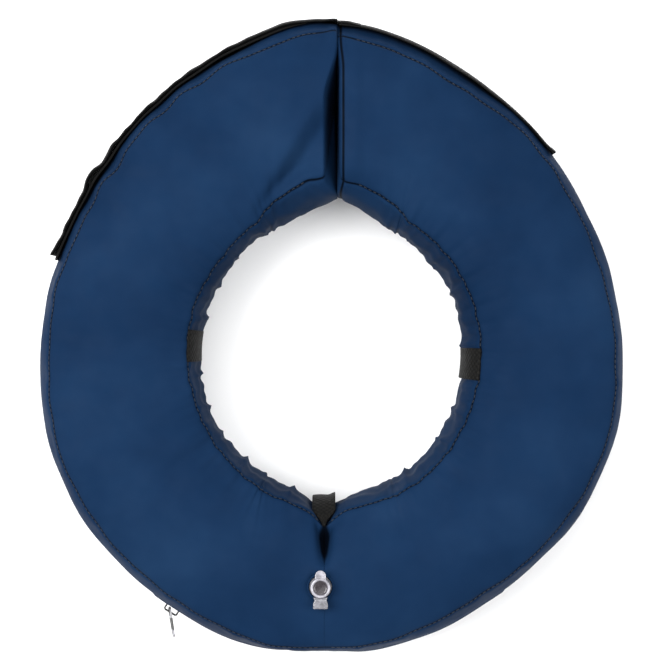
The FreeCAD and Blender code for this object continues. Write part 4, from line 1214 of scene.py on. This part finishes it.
def dress(node, material):
    """Gives a CAD node's object this finish."""
    shown = bpy.data.objects[node]
    shown.data.materials.clear()
    shown.data.materials.append(material)


dress("zip_slider", black_enamel)
dress("zip_pull", nickel)

# %% [markdown]
# ## Valve
# The air goes in through a soft clear valve: a tube welded to the bladder by a flange, a cap that
# plugs it, a tab to pull the cap out, and a short strap that keeps the cap from getting lost. The
# round parts are profiles turned round the valve's axis, with small radii at every edge.

# %% Turned and drawn valve parts
clear_vinyl = film_material("Clear valve vinyl", (0.38, 0.38, 0.42), 0.45, 0.16)
# The cap's colour darkens within 3.9 mm of the valve's axis: painted shade of the valve's inside.
cap_vinyl = film_material("Clear cap vinyl, painted shade middle", (0.44, 0.43, 0.48), 0.25, 0.16, painted_shade_radius=3.9)


def turned(profile, places=48):
    """A profile of (radius, height) points turned round the valve's axis."""
    radius, height = np.array(profile, float).T
    spin = np.arange(places) / places * 2 * np.pi
    return np.stack([VALVE_PLACE[0] + radius[:, None] * np.cos(spin),
                     VALVE_PLACE[1] + radius[:, None] * np.sin(spin),
                     height[:, None] + 0 * spin], axis=2)


stem_profile = [(5.2, 78.9), (10.6, 78.9), (11.0, 79.2), (11.0, 79.6), (10.6, 79.9), (6.6, 79.9),
                (5.8, 80.2), (5.5, 80.8), (5.5, 82.4), (5.9, 82.6), (5.9, 83.2), (5.5, 83.4),
                (5.5, 85.5), (5.2, 86.0), (3.9, 86.0), (3.5, 85.7), (3.5, 76.0), (3.6, 74.2),
                (4.3, 72.0), (4.3, 68.0), (5.2, 68.0), (5.4, 68.4), (5.4, 78.0), (5.2, 78.9)]
plug_profile = [(0.02, 79.4), (2.7, 79.4), (3.0, 79.8), (3.4, 81.5), (3.4, 86.1), (3.6, 86.3),
                (5.5, 86.3), (5.85, 86.7), (5.85, 87.4), (5.6, 87.8), (5.1, 87.9), (4.5, 87.8),
                (4.2, 87.4), (3.9, 86.9), (3.0, 86.7), (0.02, 86.7)]


def pull_tab():
    """A tongue on the cap's far side, from the cap's edge to a rounded tip."""
    reach = np.linspace(5.0, 10.2, 22)
    tip = np.clip((reach - 7.0) / 3.2, 0, 1)
    half = 3.2 * np.sqrt(np.maximum(1 - tip ** 2, 0.004))
    path = np.stack([np.full(22, VALVE_PLACE[0]), VALVE_PLACE[1] + reach,
                     86.95 + 0.35 * tip ** 2], axis=1)
    return tape_along(path, np.tile([1.0, 0, 0], (22, 1)), np.tile([0, 0, 1.0], (22, 1)),
                      2 * half, 0.9)


def keeper_strap():
    """The strap from the tube's side out, up and back to the cap, 8 wide with a rounded bend."""
    bend = np.radians(np.linspace(-90, 90, 13))
    low, high, far = 85.45, 87.45, 10.9
    leg = np.linspace(5.7, far, 8)
    out = np.concatenate([leg, far + 1.0 * np.cos(bend[1:-1]), leg[::-1][:-1]])
    up = np.concatenate([np.full(8, low), (low + high) / 2 + (high - low) / 2 * np.sin(bend[1:-1]),
                         np.full(7, high)])
    path = np.stack([np.full(len(out), VALVE_PLACE[0]), VALVE_PLACE[1] - out, up], axis=1)
    ahead = unit(np.gradient(path, axis=0))
    across_way = np.tile([1.0, 0, 0], (len(out), 1))
    waist = 8.6 - 1.6 * hill(7.2, 1.1, out)
    return tape_along(path, across_way, np.cross(across_way, ahead), waist, 0.8)


valve_tube = make_piece("valve_tube", [(turned(stem_profile), True)], clear_vinyl)
valve_cap = make_piece("valve_cap", [(turned(plug_profile), True), (pull_tab(), True)],
                       cap_vinyl)
keeper = make_piece("valve_keeper_strap", [(keeper_strap(), True)], clear_vinyl)
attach(valve_tube, "valve_stem")
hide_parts("valve_stem")
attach(valve_cap, "valve_plug")
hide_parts("valve_plug")
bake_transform(keeper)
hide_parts("valve_tether")
dress("valve_flap", clear_vinyl)

hem_spin = np.arange(64) / 64 * 2 * np.pi
hem_ring = np.arange(12) / 12 * 2 * np.pi
hem_radius = 7.4 + 0.7 * np.cos(hem_ring)[:, None]
hem = np.stack([VALVE_PLACE[0] + hem_radius * np.cos(hem_spin),
                VALVE_PLACE[1] + hem_radius * np.sin(hem_spin),
                80.75 + 0.5 * np.sin(hem_ring)[:, None] + 0 * hem_spin], axis=2)
hem = np.concatenate([hem, hem[:1]])
valve_hem = make_piece("valve_hem", [(hem, True)], cover_fabric)
add_seam_and_shade_attribute(valve_hem, np.full(len(valve_hem.data.vertices), FAR_FROM_SEAM))
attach(valve_hem, "base")
